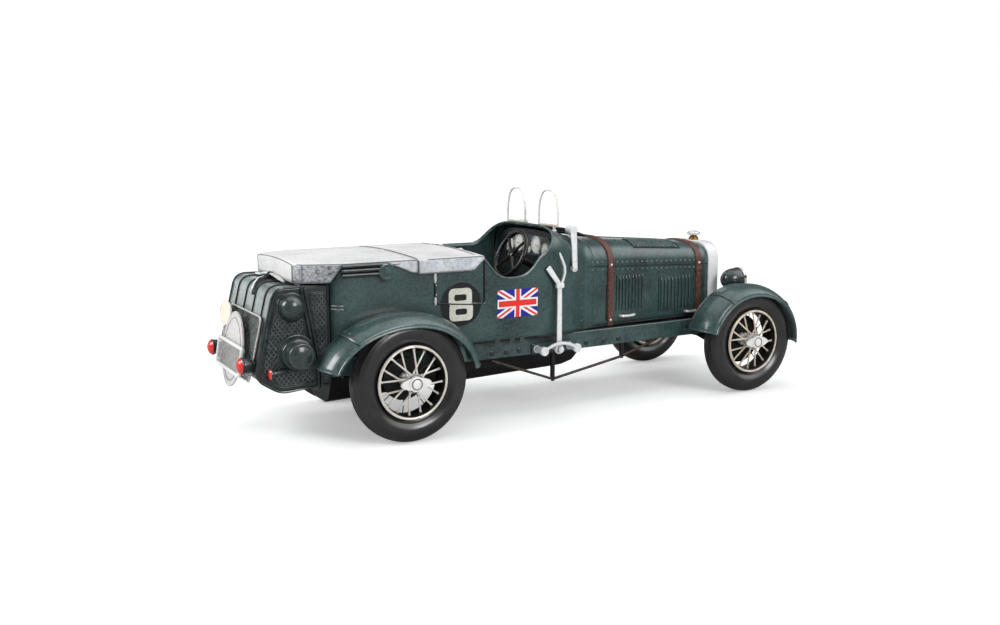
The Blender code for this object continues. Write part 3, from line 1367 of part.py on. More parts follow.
def add_steering_wheel(car, finishes):
    """The wheel turns about local X, which points forward and down along the column."""
    pivot = empty("steering_pivot", car, (WHEEL_CENTRE_X, DRIVER_Y, WHEEL_CENTRE_Z),
                  (0, COLUMN_RAKE, 0))
    steps = 20
    ring = [
        (0, WHEEL_RIM_RADIUS * math.cos(2 * math.pi * k / steps),
         WHEEL_RIM_RADIUS * math.sin(2 * math.pi * k / steps))
        for k in range(steps)
    ]
    arms = [
        rod((0, -WHEEL_RIM_RADIUS * across, -WHEEL_RIM_RADIUS * up),
            (0, WHEEL_RIM_RADIUS * across, WHEEL_RIM_RADIUS * up), WHEEL_GRIP_RADIUS * 0.6, 6)
        for across, up in ((1, 0), (0, 1))
    ]
    pin_end = COLUMN_REACH + COLUMN_BORE_DEPTH - RUNNING_GAP * 4
    pin = COLUMN_RADIUS * 0.4
    hub = lathe([
        (0.0, -WHEEL_HUB_RADIUS * 0.6), (WHEEL_HUB_RADIUS, -WHEEL_HUB_RADIUS * 0.3),
        (WHEEL_HUB_RADIUS, WHEEL_HUB_RADIUS * 0.6), (pin, WHEEL_HUB_RADIUS * 0.6),
        (pin, pin_end), (0.0, pin_end),
    ], 14, (1, 0, 0))
    wheel = union("steering_wheel", pipe(ring, WHEEL_GRIP_RADIUS, 6, True), *arms, hub)
    place(wheel, finishes["hide"], pivot)

    reach = (DASH_X - GAP - WHEEL_CENTRE_X - COLUMN_RADIUS * math.sin(COLUMN_RAKE))
    reach = reach / math.cos(COLUMN_RAKE)
    bore = pin + RUNNING_GAP
    bore_end = COLUMN_REACH + COLUMN_BORE_DEPTH
    column = lathe([
        (bore, COLUMN_REACH), (COLUMN_RADIUS, COLUMN_REACH), (COLUMN_RADIUS, reach),
        (0.0, reach), (0.0, bore_end), (bore, bore_end),
    ], 14, (1, 0, 0))
    place(solid_object("steering_column", column), finishes["black"], car, pivot.location,
          pivot.rotation_euler)


def add_lever(car, finishes):
    outer = -RAIL_HALF_SPAN - GAP
    lever_in = -BODY_HALF_WIDTH - LEVER_SIDE_GAP
    lever_out = lever_in - LEVER_THICKNESS
    wire_y = lever_out - SWING_GAP - ARCH_RADIUS
    boss_end = wire_y - ARCH_RADIUS / 2
    border = BOSS_RADIUS + BRACKET_BORDER
    back = block((LEVER_X - BOSS_SPREAD - border, outer - BRACKET_SHEET, LEVER_Z - border),
                 (LEVER_X + BOSS_SPREAD + border, outer, LEVER_Z + border))
    inside = outer - BRACKET_SHEET / 2
    bosses = [
        rod((LEVER_X + spread, inside, LEVER_Z), (LEVER_X + spread, boss_end, LEVER_Z), BOSS_RADIUS)
        for spread in (-BOSS_SPREAD, BOSS_SPREAD)
    ]
    peg = rod((LEVER_X, inside, LEVER_Z), (LEVER_X, boss_end, LEVER_Z), PEG_RADIUS)
    steps = 8
    arch = []
    for k in range(steps + 1):
        share = 2 * k / steps - 1
        arch.append((LEVER_X + BOSS_SPREAD * share, wire_y, LEVER_Z + ARCH_RISE * (1 - share ** 2)))
    bracket = union("lever_bracket", back, *bosses, peg, pipe(arch, ARCH_RADIUS, 8))
    place(bracket, finishes["white"], car)

    pivot = empty("lever_pivot", car, (LEVER_X, 0, LEVER_Z))
    eye = rod((0, lever_in, 0), (0, lever_out, 0), LEVER_EYE_RADIUS, 16)
    half = LEVER_WIDTH / 2
    post = block((-half, lever_out, 0), (half, lever_in, LEVER_LENGTH))
    collar = block((-half * 1.7, lever_out - LEVER_THICKNESS / 2, LEVER_LENGTH - LEVER_WIDTH),
                   (half * 1.7, lever_in, LEVER_LENGTH))
    flat_arm = prism([
        (-half * 1.5, LEVER_LENGTH - LEVER_WIDTH / 2), (half * 0.2, LEVER_LENGTH - LEVER_WIDTH / 2),
        (-half * 2.3, LEVER_LENGTH * 1.32), (-half * 4.2, LEVER_LENGTH * 1.30),
    ], "Y", lever_out, lever_in)
    middle = (lever_in + lever_out) / 2
    grip = pipe([
        (half * 0.8, middle, LEVER_LENGTH - LEVER_WIDTH / 2), (half * 2.2, middle, LEVER_LENGTH * 1.14),
        (half * 1.9, middle, LEVER_LENGTH * 1.24), (-half * 0.2, middle, LEVER_LENGTH * 1.44),
    ], LEVER_THICKNESS / 2, 8)
    lever = union("brake_lever", post, eye, collar, flat_arm, grip)
    lever = cut(lever, rod((0, lever_in * 2, 0), (0, 0, 0), PEG_RADIUS + RUNNING_GAP))
    place(lever, finishes["white"], pivot)


def add_aero_screens(car, finishes):
    half = HOOP_WIDTH / 2
    for name, side in (("right", -1), ("left", 1)):
        centre = side * HOOP_SPAN / 2
        foot = max(arch_height(HOOP_X, centre + half), arch_height(HOOP_X, centre - half))
        low = foot + HOOP_LIFT
        middle = low + HOOP_HEIGHT * 0.55
        outline = rounded([
            (centre - half, low, 0), (centre + half, low, 0),
            (centre + half, middle + HOOP_HEIGHT * 0.45, half * 0.8),
            (centre - half, middle + HOOP_HEIGHT * 0.45, half * 0.8),
        ], 4)
        hoop = pipe([(HOOP_X, y, z) for y, z in outline], HOOP_WIRE, 6, True)
        feet = []
        for offset in (-half * 0.7, half * 0.7):
            y = centre + offset
            edge = max(arch_height(HOOP_X, y + spread * HOOP_WIRE) for spread in (-2, 2))
            feet.append(rod((HOOP_X, y, edge + GAP), (HOOP_X, y, low), HOOP_WIRE * 1.3, 8))
        place(union("aero_screen_" + name, hoop, *feet), finishes["silver"], car)


def add_windscreen(car, finishes):
    """Folded forward at rest. The frame lies along local X from its hinge line."""
    hinge_z = arch_height(SCREEN_X, 0.0) + SCREEN_LIFT
    pivot = empty("screen_pivot", car, (SCREEN_X, 0, hinge_z), (0, SCREEN_SLOPE, 0))
    half = SCREEN_HALF_WIDTH + SCREEN_WIRE
    rim = SCREEN_WIRE * 2
    frame = solid_object("windscreen", prism(rounded([
        (-SCREEN_WIRE, -half, 0), (SCREEN_HEIGHT, -half, rim * 2),
        (SCREEN_HEIGHT, half, rim * 2), (-SCREEN_WIRE, half, 0),
    ], 3), "Z", -SCREEN_WIRE, SCREEN_WIRE))
    pockets = [
        block((rim, -half + rim, level), (SCREEN_HEIGHT - rim, half - rim, level + rim))
        for level in (SCREEN_PANEL / 2, -SCREEN_PANEL / 2 - rim)
    ]
    frame = cut(frame, *pockets)
    head_in = half + SWING_GAP
    head_out = head_in + STANCHION_HEAD_DEPTH
    pins = [
        solid_object("pin", rod((0, side * (half - rim / 2), 0), (0, side * (head_out - GAP * 3), 0),
                                SCREEN_PIN_RADIUS, 10))
        for side in (-1, 1)
    ]
    frame = combine(frame, pins, "UNION")
    frame.name = "windscreen"
    place(frame, finishes["black"], pivot)
    for name, side in (("right", -1), ("left", 1)):
        add_stanchion(car, finishes, name, side, hinge_z, head_in, head_out)


def add_stanchion(car, finishes, name, side, hinge_z, head_in, head_out):
    """A flat strip up the side of the scuttle to a round head that holds the screen's pin."""
    arch = arch_of(SCREEN_X - STANCHION_WIDTH / 2)
    inner = arch_points(SCREEN_X, arch, GAP * 2, 12)
    count = len(inner)
    climb = [point for point in inner[:count // 2] if point[2] > arch[2] and -point[1] > head_out]
    half = STANCHION_WIDTH / 2
    inner_line = [(side * -y, z) for _, y, z in climb]
    inner_line.append((side * (head_out - STANCHION_SHEET / 2), hinge_z))
    outer_line = [(y + side * STANCHION_SHEET, z + STANCHION_SHEET * 0.4) for y, z in inner_line]
    outline = inner_line + outer_line[::-1]
    strip = prism(outline, "X", SCREEN_X - half, SCREEN_X + half)
    head = rod((SCREEN_X, side * head_in, hinge_z), (SCREEN_X, side * head_out, hinge_z),
               STANCHION_HEAD_RADIUS, 16)
    stanchion = union("windscreen_stanchion_" + name, strip, head)
    bore = rod((SCREEN_X, side * head_in / 2, hinge_z), (SCREEN_X, side * (head_out - GAP), hinge_z),
               SCREEN_PIN_RADIUS + RUNNING_GAP, 10)
    place(cut(stanchion, bore), finishes["white"], car)


def main():
    clear_scene()
    finishes = make_finishes()
    car = empty("car", None, (REAR_AXLE_X, 0, TYRE_RADIUS))
    knuckles = add_steering(car, finishes)
    add_wheels(car, finishes, knuckles)
    add_axles(car, finishes)
    add_chassis(car, finishes)
    add_body(car, finishes)
    add_bonnet(car, finishes)
    add_front_end(car, finishes)
    add_mudguards(car, finishes)
    add_tail(car, finishes)
    add_covers(car, finishes)
    add_hood_irons(car, finishes)
    add_steering_wheel(car, finishes)
    add_lever(car, finishes)
    add_aero_screens(car, finishes)
    add_windscreen(car, finishes)


main()
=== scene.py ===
"""Dressed model of the open racing tourer: painted finishes, fittings and a plain studio.

Lengths are millimetres: forward of the rear axle, to the car's left, and up from the wheel centres.
"""

import math

import bmesh
import bpy
from mathutils import Matrix, Vector


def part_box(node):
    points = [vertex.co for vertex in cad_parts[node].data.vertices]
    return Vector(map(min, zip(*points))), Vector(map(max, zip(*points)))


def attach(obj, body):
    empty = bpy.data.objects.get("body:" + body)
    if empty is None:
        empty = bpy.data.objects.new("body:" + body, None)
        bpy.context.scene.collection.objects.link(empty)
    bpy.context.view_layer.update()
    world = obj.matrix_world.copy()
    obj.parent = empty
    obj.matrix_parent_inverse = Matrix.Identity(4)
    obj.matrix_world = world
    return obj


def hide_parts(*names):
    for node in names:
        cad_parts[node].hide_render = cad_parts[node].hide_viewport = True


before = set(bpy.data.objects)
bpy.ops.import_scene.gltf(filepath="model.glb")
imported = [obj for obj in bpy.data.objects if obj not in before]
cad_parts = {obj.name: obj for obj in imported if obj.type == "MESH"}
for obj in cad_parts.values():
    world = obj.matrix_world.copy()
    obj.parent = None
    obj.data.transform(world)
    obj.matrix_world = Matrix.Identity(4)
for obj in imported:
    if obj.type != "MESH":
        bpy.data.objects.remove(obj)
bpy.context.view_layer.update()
HUB_LOW, HUB_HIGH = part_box("tyre_rear_right")
AXLE = (HUB_LOW + HUB_HIGH) / 2
AXLE.y = 0
MM = 0.001

# Sizes shared with the frame
WHEELBASE = 252.3
HALF_TRACK = 56.6
TYRE_RADIUS = 35.0
BODY_REAR = -39.7
BODY_FRONT = 137.0
BODY_BOTTOM = 13.8
BODY_TOP = 64.9
SCUTTLE_TOP = 80.7
LIP_START = 94.0
LIP_X = 110.0
BONNET_REAR = 137.3
BONNET_FRONT = 245.7
TANK_HALF = 38.0
COVER_TOP = 67.0
COVER_CROWN = 1.5
TANK_TOP = 55.0
TANK_REAR_TOP = -70.5
TANK_LEAN = 12.0
TANK_LEAN_DROP = 49.0
RAIL_TAPER_FROM = 95
RAIL_TAPER = 6.2
RAIL_TAPER_RUN = 157.3
LAMP_X = 258.0
RADIATOR_CAP_X = 250.5
DASH_X = 112.0
HOOP_X = 115.0
SCREEN_X = 126.0
SCREEN_LIFT = 2.6
LEVER_X = 107.0
LEVER_Z = 6.0
STRAPS = (("rear", 157.8), ("front", 236.2))

# Shape of the body and bonnet sections
BONNET_TOP = 71.9
BONNET_FALL = 8.4
BONNET_SHOULDER = 17.8
BONNET_SHOULDER_RISE = 3.6
BONNET_SQUARE = 2.6
SCUTTLE_FALL = 8.8
SCUTTLE_SHOULDER = 24.0
SCUTTLE_SHOULDER_RISE = 6.2
BODY_SQUARE = 4.0
BODY_SQUARE_LOSS = 1.4
BODY_TUCK = 2.5
TUCK_END = 95
LIP_POWER = 1.8

# The sides of the car, by sign and by name: the right is towards -Y
HANDS = (-1, 1)
SIDES = (("right", -1), ("left", 1))

# Other shared values: a length past any piece, the welding distance and bump depth in metres
FAR = 999
WELD = 2e-6
BUMP_DEPTH = 0.0002
FINISH = {}
GROUPS = {}


# Node helpers
def put(tree, kind, links=None, **settings):
    """A shader node with its settings, and its inputs linked or set."""
    node = tree.nodes.new("ShaderNode" + kind)
    for name, value in settings.items():
        setattr(node, name, value)
    for name, value in (links or {}).items():
        if isinstance(value, bpy.types.NodeSocket):
            tree.links.new(value, node.inputs[name])
        else:
            node.inputs[name].default_value = value
    return node


def tint(tree, share, first, second, way="MIX"):
    node = put(tree, "Mix", {0: share, 6: first, 7: second}, data_type="RGBA", blend_type=way)
    return node.outputs[2]


def calc(tree, way, first, second=0.0):
    return put(tree, "Math", {0: first, 1: second}, operation=way).outputs[0]


def spread(tree, value, low, high, start=0.0, end=1.0):
    links = {"Value": value, "From Min": low, "From Max": high, "To Min": start, "To Max": end}
    return put(tree, "MapRange", links).outputs[0]


def cloud(tree, place, scale, detail=3.0):
    return put(tree, "TexNoise", {"Vector": place, "Scale": scale, "Detail": detail}).outputs[0]


def ink(red, green, blue):
    """A colour given as it looks on a screen, in the linear values that a shader takes."""
    def linear(level):
        level = level / 255
        return level / 12.92 if level <= 0.04045 else ((level + 0.055) / 1.055) ** 2.4
    return (linear(red), linear(green), linear(blue), 1.0)


def new_group(name, inputs):
    """A node group with its inputs, the three outputs that every finish uses and a place."""
    tree = bpy.data.node_groups.new(name, "ShaderNodeTree")
    for label, value in inputs:
        kind = "NodeSocketColor" if isinstance(value, tuple) else "NodeSocketFloat"
        tree.interface.new_socket(name=label, in_out="INPUT", socket_type=kind).default_value = value
    for label, kind in (("Colour", "Color"), ("Roughness", "Float"), ("Height", "Float")):
        tree.interface.new_socket(name=label, in_out="OUTPUT", socket_type="NodeSocket" + kind)
    given = tree.nodes.new("NodeGroupInput").outputs
    result = tree.nodes.new("NodeGroupOutput").inputs
    place = put(tree, "TexCoord").outputs["Object"]
    return tree, given, result, place


def finish_group(tree, result, colour, roughness, height):
    tree.links.new(colour, result["Colour"])
    tree.links.new(roughness, result["Roughness"])
    tree.links.new(height, result["Height"])
    return tree


def aged_paint_group():
    """Hand-brushed enamel: clouded tone, painted shade from ambient occlusion in hollows, thin paint along
    edges.
    """
    tree, given, result, place = new_group("aged_paint", (
        ("Paint", ink(128, 128, 128)), ("Wash", ink(40, 40, 40)), ("Worn", ink(200, 200, 200)),
        ("Clouding", 0.4), ("Wear", 0.5), ("Gloss", 0.35), ("Brush", 0.5)))
    broad = spread(tree, cloud(tree, place, 42.0, 5.0), 0.36, 0.68)
    brush = cloud(tree, place, 560.0, 4.0)
    speck = cloud(tree, place, 1500.0, 2.0)
    point = put(tree, "NewGeometry").outputs["Pointiness"]
    edge = calc(tree, "MULTIPLY", spread(tree, point, 0.53, 0.66),
                spread(tree, cloud(tree, place, 330.0), 0.35, 0.6))
    worn = calc(tree, "MULTIPLY", edge, given["Wear"])
    # Painted shade: ambient occlusion darkens the paint towards its dark colour in hollows and joints
    occlusion_shade = put(tree, "AmbientOcclusion", {"Distance": 0.011}, samples=4).outputs["AO"]
    stipple = calc(tree, "ADD", broad, spread(tree, brush, 0.42, 0.62, 0.0, 0.7))
    clouding_and_shade = calc(tree, "MULTIPLY", stipple, given["Clouding"])
    # The darker of random clouding and painted occlusion shade sets the mix
    clouding_and_shade = calc(tree, "MAXIMUM", clouding_and_shade, spread(tree, occlusion_shade, 0.86, 0.36, 0.0, 0.9))
    colour = tint(tree, clouding_and_shade, given["Paint"], given["Wash"])
    colour = tint(tree, worn, colour, given["Worn"])
    rough = calc(tree, "ADD", given["Gloss"], calc(tree, "MULTIPLY", brush, 0.16))
    rough = calc(tree, "ADD", rough, calc(tree, "MULTIPLY", worn, 0.15))
    grain = calc(tree, "ADD", calc(tree, "MULTIPLY", brush, 0.8), calc(tree, "MULTIPLY", speck, 0.3))
    return finish_group(tree, result, colour, rough, calc(tree, "MULTIPLY", grain, given["Brush"]))


def worn_metal_group():
    """Plated metal with fine scratches and brown tarnish that gathers in patches and hollows."""
    tree, given, result, place = new_group("worn_metal", (
        ("Metal", ink(200, 200, 200)), ("Tarnish", ink(110, 84, 56)), ("Patches", 0.4),
        ("Gloss", 0.25), ("Scratches", 0.4)))
    long = put(tree, "Mapping", {"Vector": place, "Scale": (0.15, 1.0, 1.0)}).outputs[0]
    scratch = cloud(tree, long, 1800.0, 3.0)
    patch = spread(tree, cloud(tree, place, 190.0, 4.0), 0.46, 0.66)
    point = put(tree, "NewGeometry").outputs["Pointiness"]
    patch = calc(tree, "MAXIMUM", patch, spread(tree, point, 0.48, 0.40))
    patch = calc(tree, "MULTIPLY", patch, given["Patches"])
    colour = tint(tree, patch, given["Metal"], given["Tarnish"])
    colour = tint(tree, calc(tree, "MULTIPLY", scratch, 0.12), colour, given["Tarnish"])
    rough = calc(tree, "ADD", given["Gloss"], calc(tree, "MULTIPLY", patch, 0.35))
    rough = calc(tree, "ADD", rough, calc(tree, "MULTIPLY", scratch, 0.1))
    return finish_group(tree, result, colour, rough, calc(tree, "MULTIPLY", scratch, given["Scratches"]))


def hide_grain_group():
    """Leather: pebbled grain, rubbed high spots and darker creases."""
    tree, given, result, place = new_group("hide_grain", (
        ("Hide", ink(90, 60, 50)), ("Crease", ink(40, 26, 22)), ("Rubbed", ink(150, 110, 95)),
        ("Gloss", 0.5), ("Pebble", 0.6)))
    cells = put(tree, "TexVoronoi", {"Vector": place, "Scale": 1300.0}).outputs[0]
    broad = spread(tree, cloud(tree, place, 160.0, 4.0), 0.35, 0.7)
    crack = spread(tree, cloud(tree, place, 700.0, 5.0), 0.52, 0.62)
    colour = tint(tree, calc(tree, "MULTIPLY", broad, 0.55), given["Hide"], given["Crease"])
    colour = tint(tree, calc(tree, "MULTIPLY", crack, 0.35), colour, given["Rubbed"])
    rough = calc(tree, "ADD", given["Gloss"], calc(tree, "MULTIPLY", broad, 0.2))
    return finish_group(tree, result, colour, rough, calc(tree, "MULTIPLY", cells, given["Pebble"]))


def moulded_rubber_group():
    """Tyre rubber: dull, dusty in the low grooves, its gloss varying in broad patches."""
    tree, given, result, place = new_group("moulded_rubber", (
        ("Rubber", ink(40, 40, 40)), ("Dust", ink(92, 88, 84)), ("Dusting", 0.3), ("Gloss", 0.45)))
    broad = spread(tree, cloud(tree, place, 70.0, 4.0), 0.42, 0.75)
    speck = cloud(tree, place, 1400.0, 3.0)
    point = put(tree, "NewGeometry").outputs["Pointiness"]
    low = calc(tree, "MAXIMUM", calc(tree, "MULTIPLY", broad, 0.6), spread(tree, point, 0.49, 0.44))
    colour = tint(tree, calc(tree, "MULTIPLY", low, given["Dusting"]), given["Rubber"], given["Dust"])
    rough = calc(tree, "ADD", given["Gloss"], calc(tree, "MULTIPLY", broad, 0.15))
    return finish_group(tree, result, colour, rough, speck)


def finish(name, group, values, bump, **shader):
    """A material: one effect group feeding colour, roughness and bump, constants on the shader."""
    material = bpy.data.materials.new(name)
    material.use_nodes = True
    tree = material.node_tree
    shade = tree.nodes["Principled BSDF"]
    effect = put(tree, "Group", node_tree=group)
    for label, value in values.items():
        effect.inputs[label].default_value = value
    tree.links.new(effect.outputs["Colour"], shade.inputs["Base Color"])
    tree.links.new(effect.outputs["Roughness"], shade.inputs["Roughness"])
    relief = put(tree, "Bump", {"Height": effect.outputs["Height"], "Strength": bump,
                                "Distance": BUMP_DEPTH})
    tree.links.new(relief.outputs[0], shade.inputs["Normal"])
    for label, value in shader.items():
        shade.inputs[label.replace("_", " ").title().replace("Ior", "IOR")].default_value = value
    FINISH[name] = material


def paint(name, colour, cloud_and_shade, worn, clouding=0.4, wear=0.5, gloss=0.32, brush=0.5, bump=0.25, **shader):
    finish(name, GROUPS["paint"], {
        "Paint": ink(*colour), "Wash": ink(*cloud_and_shade), "Worn": ink(*worn), "Clouding": clouding,
        "Wear": wear, "Gloss": gloss, "Brush": brush}, bump, **shader)


def plate(name, colour, tarnish, patches=0.3, gloss=0.22, metallic=0.9):
    finish(name, GROUPS["metal"], {
        "Metal": ink(*colour), "Tarnish": ink(*tarnish), "Patches": patches, "Gloss": gloss}, 0.12,
        metallic=metallic)


def leather(name, hide, crease, rubbed, gloss, bump):
    finish(name, GROUPS["hide"], {
        "Hide": ink(*hide), "Crease": ink(*crease), "Rubbed": ink(*rubbed), "Gloss": gloss}, bump)


def make_finishes():
    """Every finish by name: paints, plated metals, leathers, rubber and glass."""
    GROUPS["paint"] = aged_paint_group()
    GROUPS["metal"] = worn_metal_group()
    GROUPS["hide"] = hide_grain_group()
    GROUPS["rubber"] = moulded_rubber_group()
    paint("green", (58, 86, 85), (14, 25, 25), (138, 162, 158), 0.5, 0.5, 0.34, coat_weight=0.85,
          coat_roughness=0.19)
    paint("deep_green", (28, 39, 38), (10, 14, 14), (94, 113, 110), 0.42, 0.4, 0.32, coat_weight=0.85,
          coat_roughness=0.13)
    # Painted reflection: a pale green standing for the white surroundings mirrored in the glossy green tank
    # top
    paint("tank_top", (140, 156, 154), (44, 58, 57), (190, 202, 200), 0.4, 0.4, 0.25, coat_weight=0.8,
          coat_roughness=0.12)
    paint("lamp_green", (42, 58, 57), (11, 17, 17), (110, 130, 126), 0.42, 0.4, 0.32, coat_weight=0.85,
          coat_roughness=0.13)
    paint("black", (20, 20, 21), (10, 10, 10), (64, 62, 60), 0.4, 0.3, 0.35)
    # Near black for dark parts, and for painted shade along gaps, slots, grooves and joints
    paint("seam", (13, 15, 15), (8, 9, 9), (30, 34, 33), 0.4, 0.2, 0.45)
    paint("rod_brown", (48, 36, 32), (22, 17, 16), (96, 78, 70), 0.5, 0.5, 0.4)
    paint("white", (233, 234, 234), (176, 180, 184), (246, 246, 246), 0.35, 0.3, 0.4)
    paint("cover_top", (231, 230, 228), (192, 193, 195), (248, 248, 248), 0.5, 0.3, 0.5, 0.8, 0.6)
    paint("cover_skirt", (216, 220, 226), (120, 124, 130), (242, 244, 247), 0.45, 0.4, 0.5, 1.0, 0.6)
    paint("cover_crumple", (196, 199, 203), (66, 68, 71), (236, 238, 240), 0.72, 0.6, 0.45, 1.0, 1.0)
    paint("shell_white", (246, 246, 246), (204, 206, 206), (250, 250, 250), 0.4, 0.4, 0.25, coat_weight=0.4,
          coat_roughness=0.15)
    paint("board", (214, 212, 210), (160, 158, 156), (236, 235, 234), 0.5, 0.4, 0.35)
    paint("cream", (234, 228, 212), (212, 204, 184), (244, 240, 230), 0.5, 0.4, 0.4)
    # Cream for the race number, also used for a painted highlight line across it
    paint("number_cream", (220, 219, 208), (176, 176, 164), (236, 236, 228), 0.5, 0.3, 0.45)
    paint("roundel", (22, 28, 29), (13, 16, 17), (52, 60, 60), 0.4, 0.3, 0.38)
    paint("flag_blue", (32, 24, 160), (24, 18, 122), (74, 70, 176), 0.3, 0.2, 0.35)
    paint("flag_red", (240, 40, 34), (212, 32, 30), (244, 92, 86), 0.3, 0.2, 0.35)
    paint("flag_white", (244, 244, 242), (220, 220, 220), (250, 250, 250), 0.3, 0.2, 0.35)
    paint("red_lens", (226, 48, 42), (150, 20, 18), (246, 150, 140), 0.3, 0.4, 0.15, 0.2,
          coat_weight=0.6, coat_roughness=0.08)
    paint("dash_grey", (50, 55, 58), (26, 29, 31), (140, 144, 144), 0.4, 0.4, 0.3)
    paint("dial", (242, 241, 238), (216, 213, 206), (248, 248, 246), 0.4, 0.2, 0.3, 0.2)
    paint("pencil", (112, 114, 117), (74, 76, 78), (164, 166, 169), 0.5, 0.3, 0.5)
    # Grey for plates and hinges, and for painted shade in the hub's grooves and round the spinner's ears
    paint("plate_grey", (150, 148, 146), (92, 90, 88), (200, 199, 197), 0.6, 0.4, 0.35)
    # Painted highlight: mesh wires in a lighter green than their dark paint, for the light they catch
    paint("mesh_green", (70, 82, 80), (30, 37, 36), (124, 138, 134), 0.4, 0.3, 0.25, coat_weight=0.6,
          coat_roughness=0.15)
    paint("dash_green", (24, 30, 33), (12, 15, 17), (90, 104, 102), 0.5, 0.4, 0.3)
    # Grey-silver for the rear mesh wires, also used for a painted highlight line on the door's foot
    plate("mesh_silver", (150, 156, 154), (34, 38, 36), 0.6, 0.35, 0.5)
    plate("hoop_wire", (236, 235, 232), (192, 182, 166), 0.3, 0.3, 0.12)
    plate("silver", (236, 235, 233), (146, 134, 120), 0.32, 0.25, 0.4)
    plate("hub_silver", (245, 244, 242), (176, 168, 158), 0.25, 0.3, 0.15)
    plate("gold_wire", (240, 230, 212), (170, 134, 96), 0.46, 0.28, 0.28)
    plate("steel_wire", (242, 238, 230), (160, 136, 104), 0.36, 0.28, 0.28)
    plate("brass", (206, 158, 88), (112, 70, 36), 0.5, 0.25)
    plate("reflector", (232, 232, 230), (170, 168, 160), 0.15, 0.1, 1.0)
    leather("strap", (98, 60, 50), (58, 34, 30), (150, 104, 90), 0.42, 0.3)
    leather("hide", (34, 38, 42), (16, 18, 20), (78, 80, 82), 0.4, 0.35)
    leather("grip", (24, 19, 18), (12, 10, 10), (70, 56, 50), 0.2, 0.12)
    finish("rubber", GROUPS["rubber"], {"Rubber": ink(19, 18, 19), "Dusting": 0.16, "Gloss": 0.38}, 0.12,
           coat_weight=1.0, coat_ior=1.58, coat_roughness=0.22)
    finish("glass", GROUPS["rubber"], {
        "Rubber": ink(250, 250, 248), "Dust": ink(214, 214, 208), "Dusting": 0.4, "Gloss": 0.03}, 0.02,
        transmission_weight=0.9, ior=1.45)


# Mesh helpers
class Shape:
    """Points, faces and finish names of one piece, in the car's millimetres."""

    def __init__(self):
        self.points = []
        self.faces = []
        self.looks = []

    def add(self, points, faces, look):
        start = len(self.points)
        self.points.extend(Vector(point) for point in points)
        self.faces.extend([start + index for index in face] for face in faces)
        self.looks.extend([look] * len(faces))

    def grid(self, rows, look, around=False, along=False, ends=False):
        wide = len(rows[0])
        count = len(rows)
        faces = []
        for row in range(count if along else count - 1):
            over = (row + 1) % count * wide
            for column in range(wide if around else wide - 1):
                beside = (column + 1) % wide
                faces.append((row * wide + column, row * wide + beside, over + beside, over + column))
        if ends:
            faces.append(range(wide))
            faces.append(range((count - 1) * wide, count * wide))
        self.add([point for row in rows for point in row], faces, look)

    def tube(self, path, radius, look, sides=8, closed=False, flat=1.0):
        path = [Vector(point) for point in path]
        count = len(path)
        radii = radius if isinstance(radius, (list, tuple)) else [radius] * count
        rows = []
        side = None
        for k, point in enumerate(path):
            ahead = path[(k + 1) % count] if closed or k < count - 1 else point
            behind = path[k - 1] if closed or k > 0 else point
            run = (ahead - behind).normalized()
            if side is None:
                helper = Vector((0, 0, 1)) if abs(run.z) < 0.9 else Vector((1, 0, 0))
                side = run.cross(helper).normalized()
            side = (side - run * side.dot(run)).normalized()
            rise = run.cross(side)
            rows.append([
                point + (side * math.cos(turn) + rise * math.sin(turn) * flat) * radii[k]
                for turn in turns(sides)
            ])
        self.grid(rows, look, around=True, along=closed, ends=not closed)

    def turned(self, profile, centre, axis, look, count=32):
        """A profile of (radius, distance along the axis); look is one name or one per step of it."""
        axis = Vector(axis).normalized()
        helper = Vector((0, 0, 1)) if abs(axis.z) < 0.9 else Vector((1, 0, 0))
        side = axis.cross(helper).normalized()
        rise = axis.cross(side)
        centre = Vector(centre)
        rings = [[
            centre + axis * along + (side * math.cos(turn) + rise * math.sin(turn)) * max(radius, 1e-4)
            for turn in turns(count)
        ] for radius, along in profile]
        for k in range(len(rings) - 1):
            self.grid(rings[k:k + 2], look if isinstance(look, str) else look[k], around=True)

    def prism(self, outline, axis, start, end, look):
        """A flat outline carried along an axis; its pairs are YZ for X, XZ for Y and XY for Z."""
        def lift(pair, level):
            first, second = pair
            return {"X": (level, first, second), "Y": (first, level, second),
                    "Z": (first, second, level)}[axis]
        self.grid([[lift(pair, level) for pair in outline] for level in (start, end)], look, around=True,
                  ends=True)

    def dome(self, centre, normal, radius, height, look, count=8):
        self.turned([(radius, -radius * 0.2), (radius * 0.92, height * 0.4), (radius * 0.6, height * 0.82),
                     (0, height)], centre, normal, look, count)

    def moved(self, matrix):
        self.points = [matrix @ point for point in self.points]
        return self


def show(name, mesh, body, nodes=()):
    """An object in the scene that rides a body and stands for frame nodes."""
    item = bpy.data.objects.new(name, mesh)
    bpy.context.scene.collection.objects.link(item)
    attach(item, body)
    if nodes:
        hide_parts(*nodes)
    return item


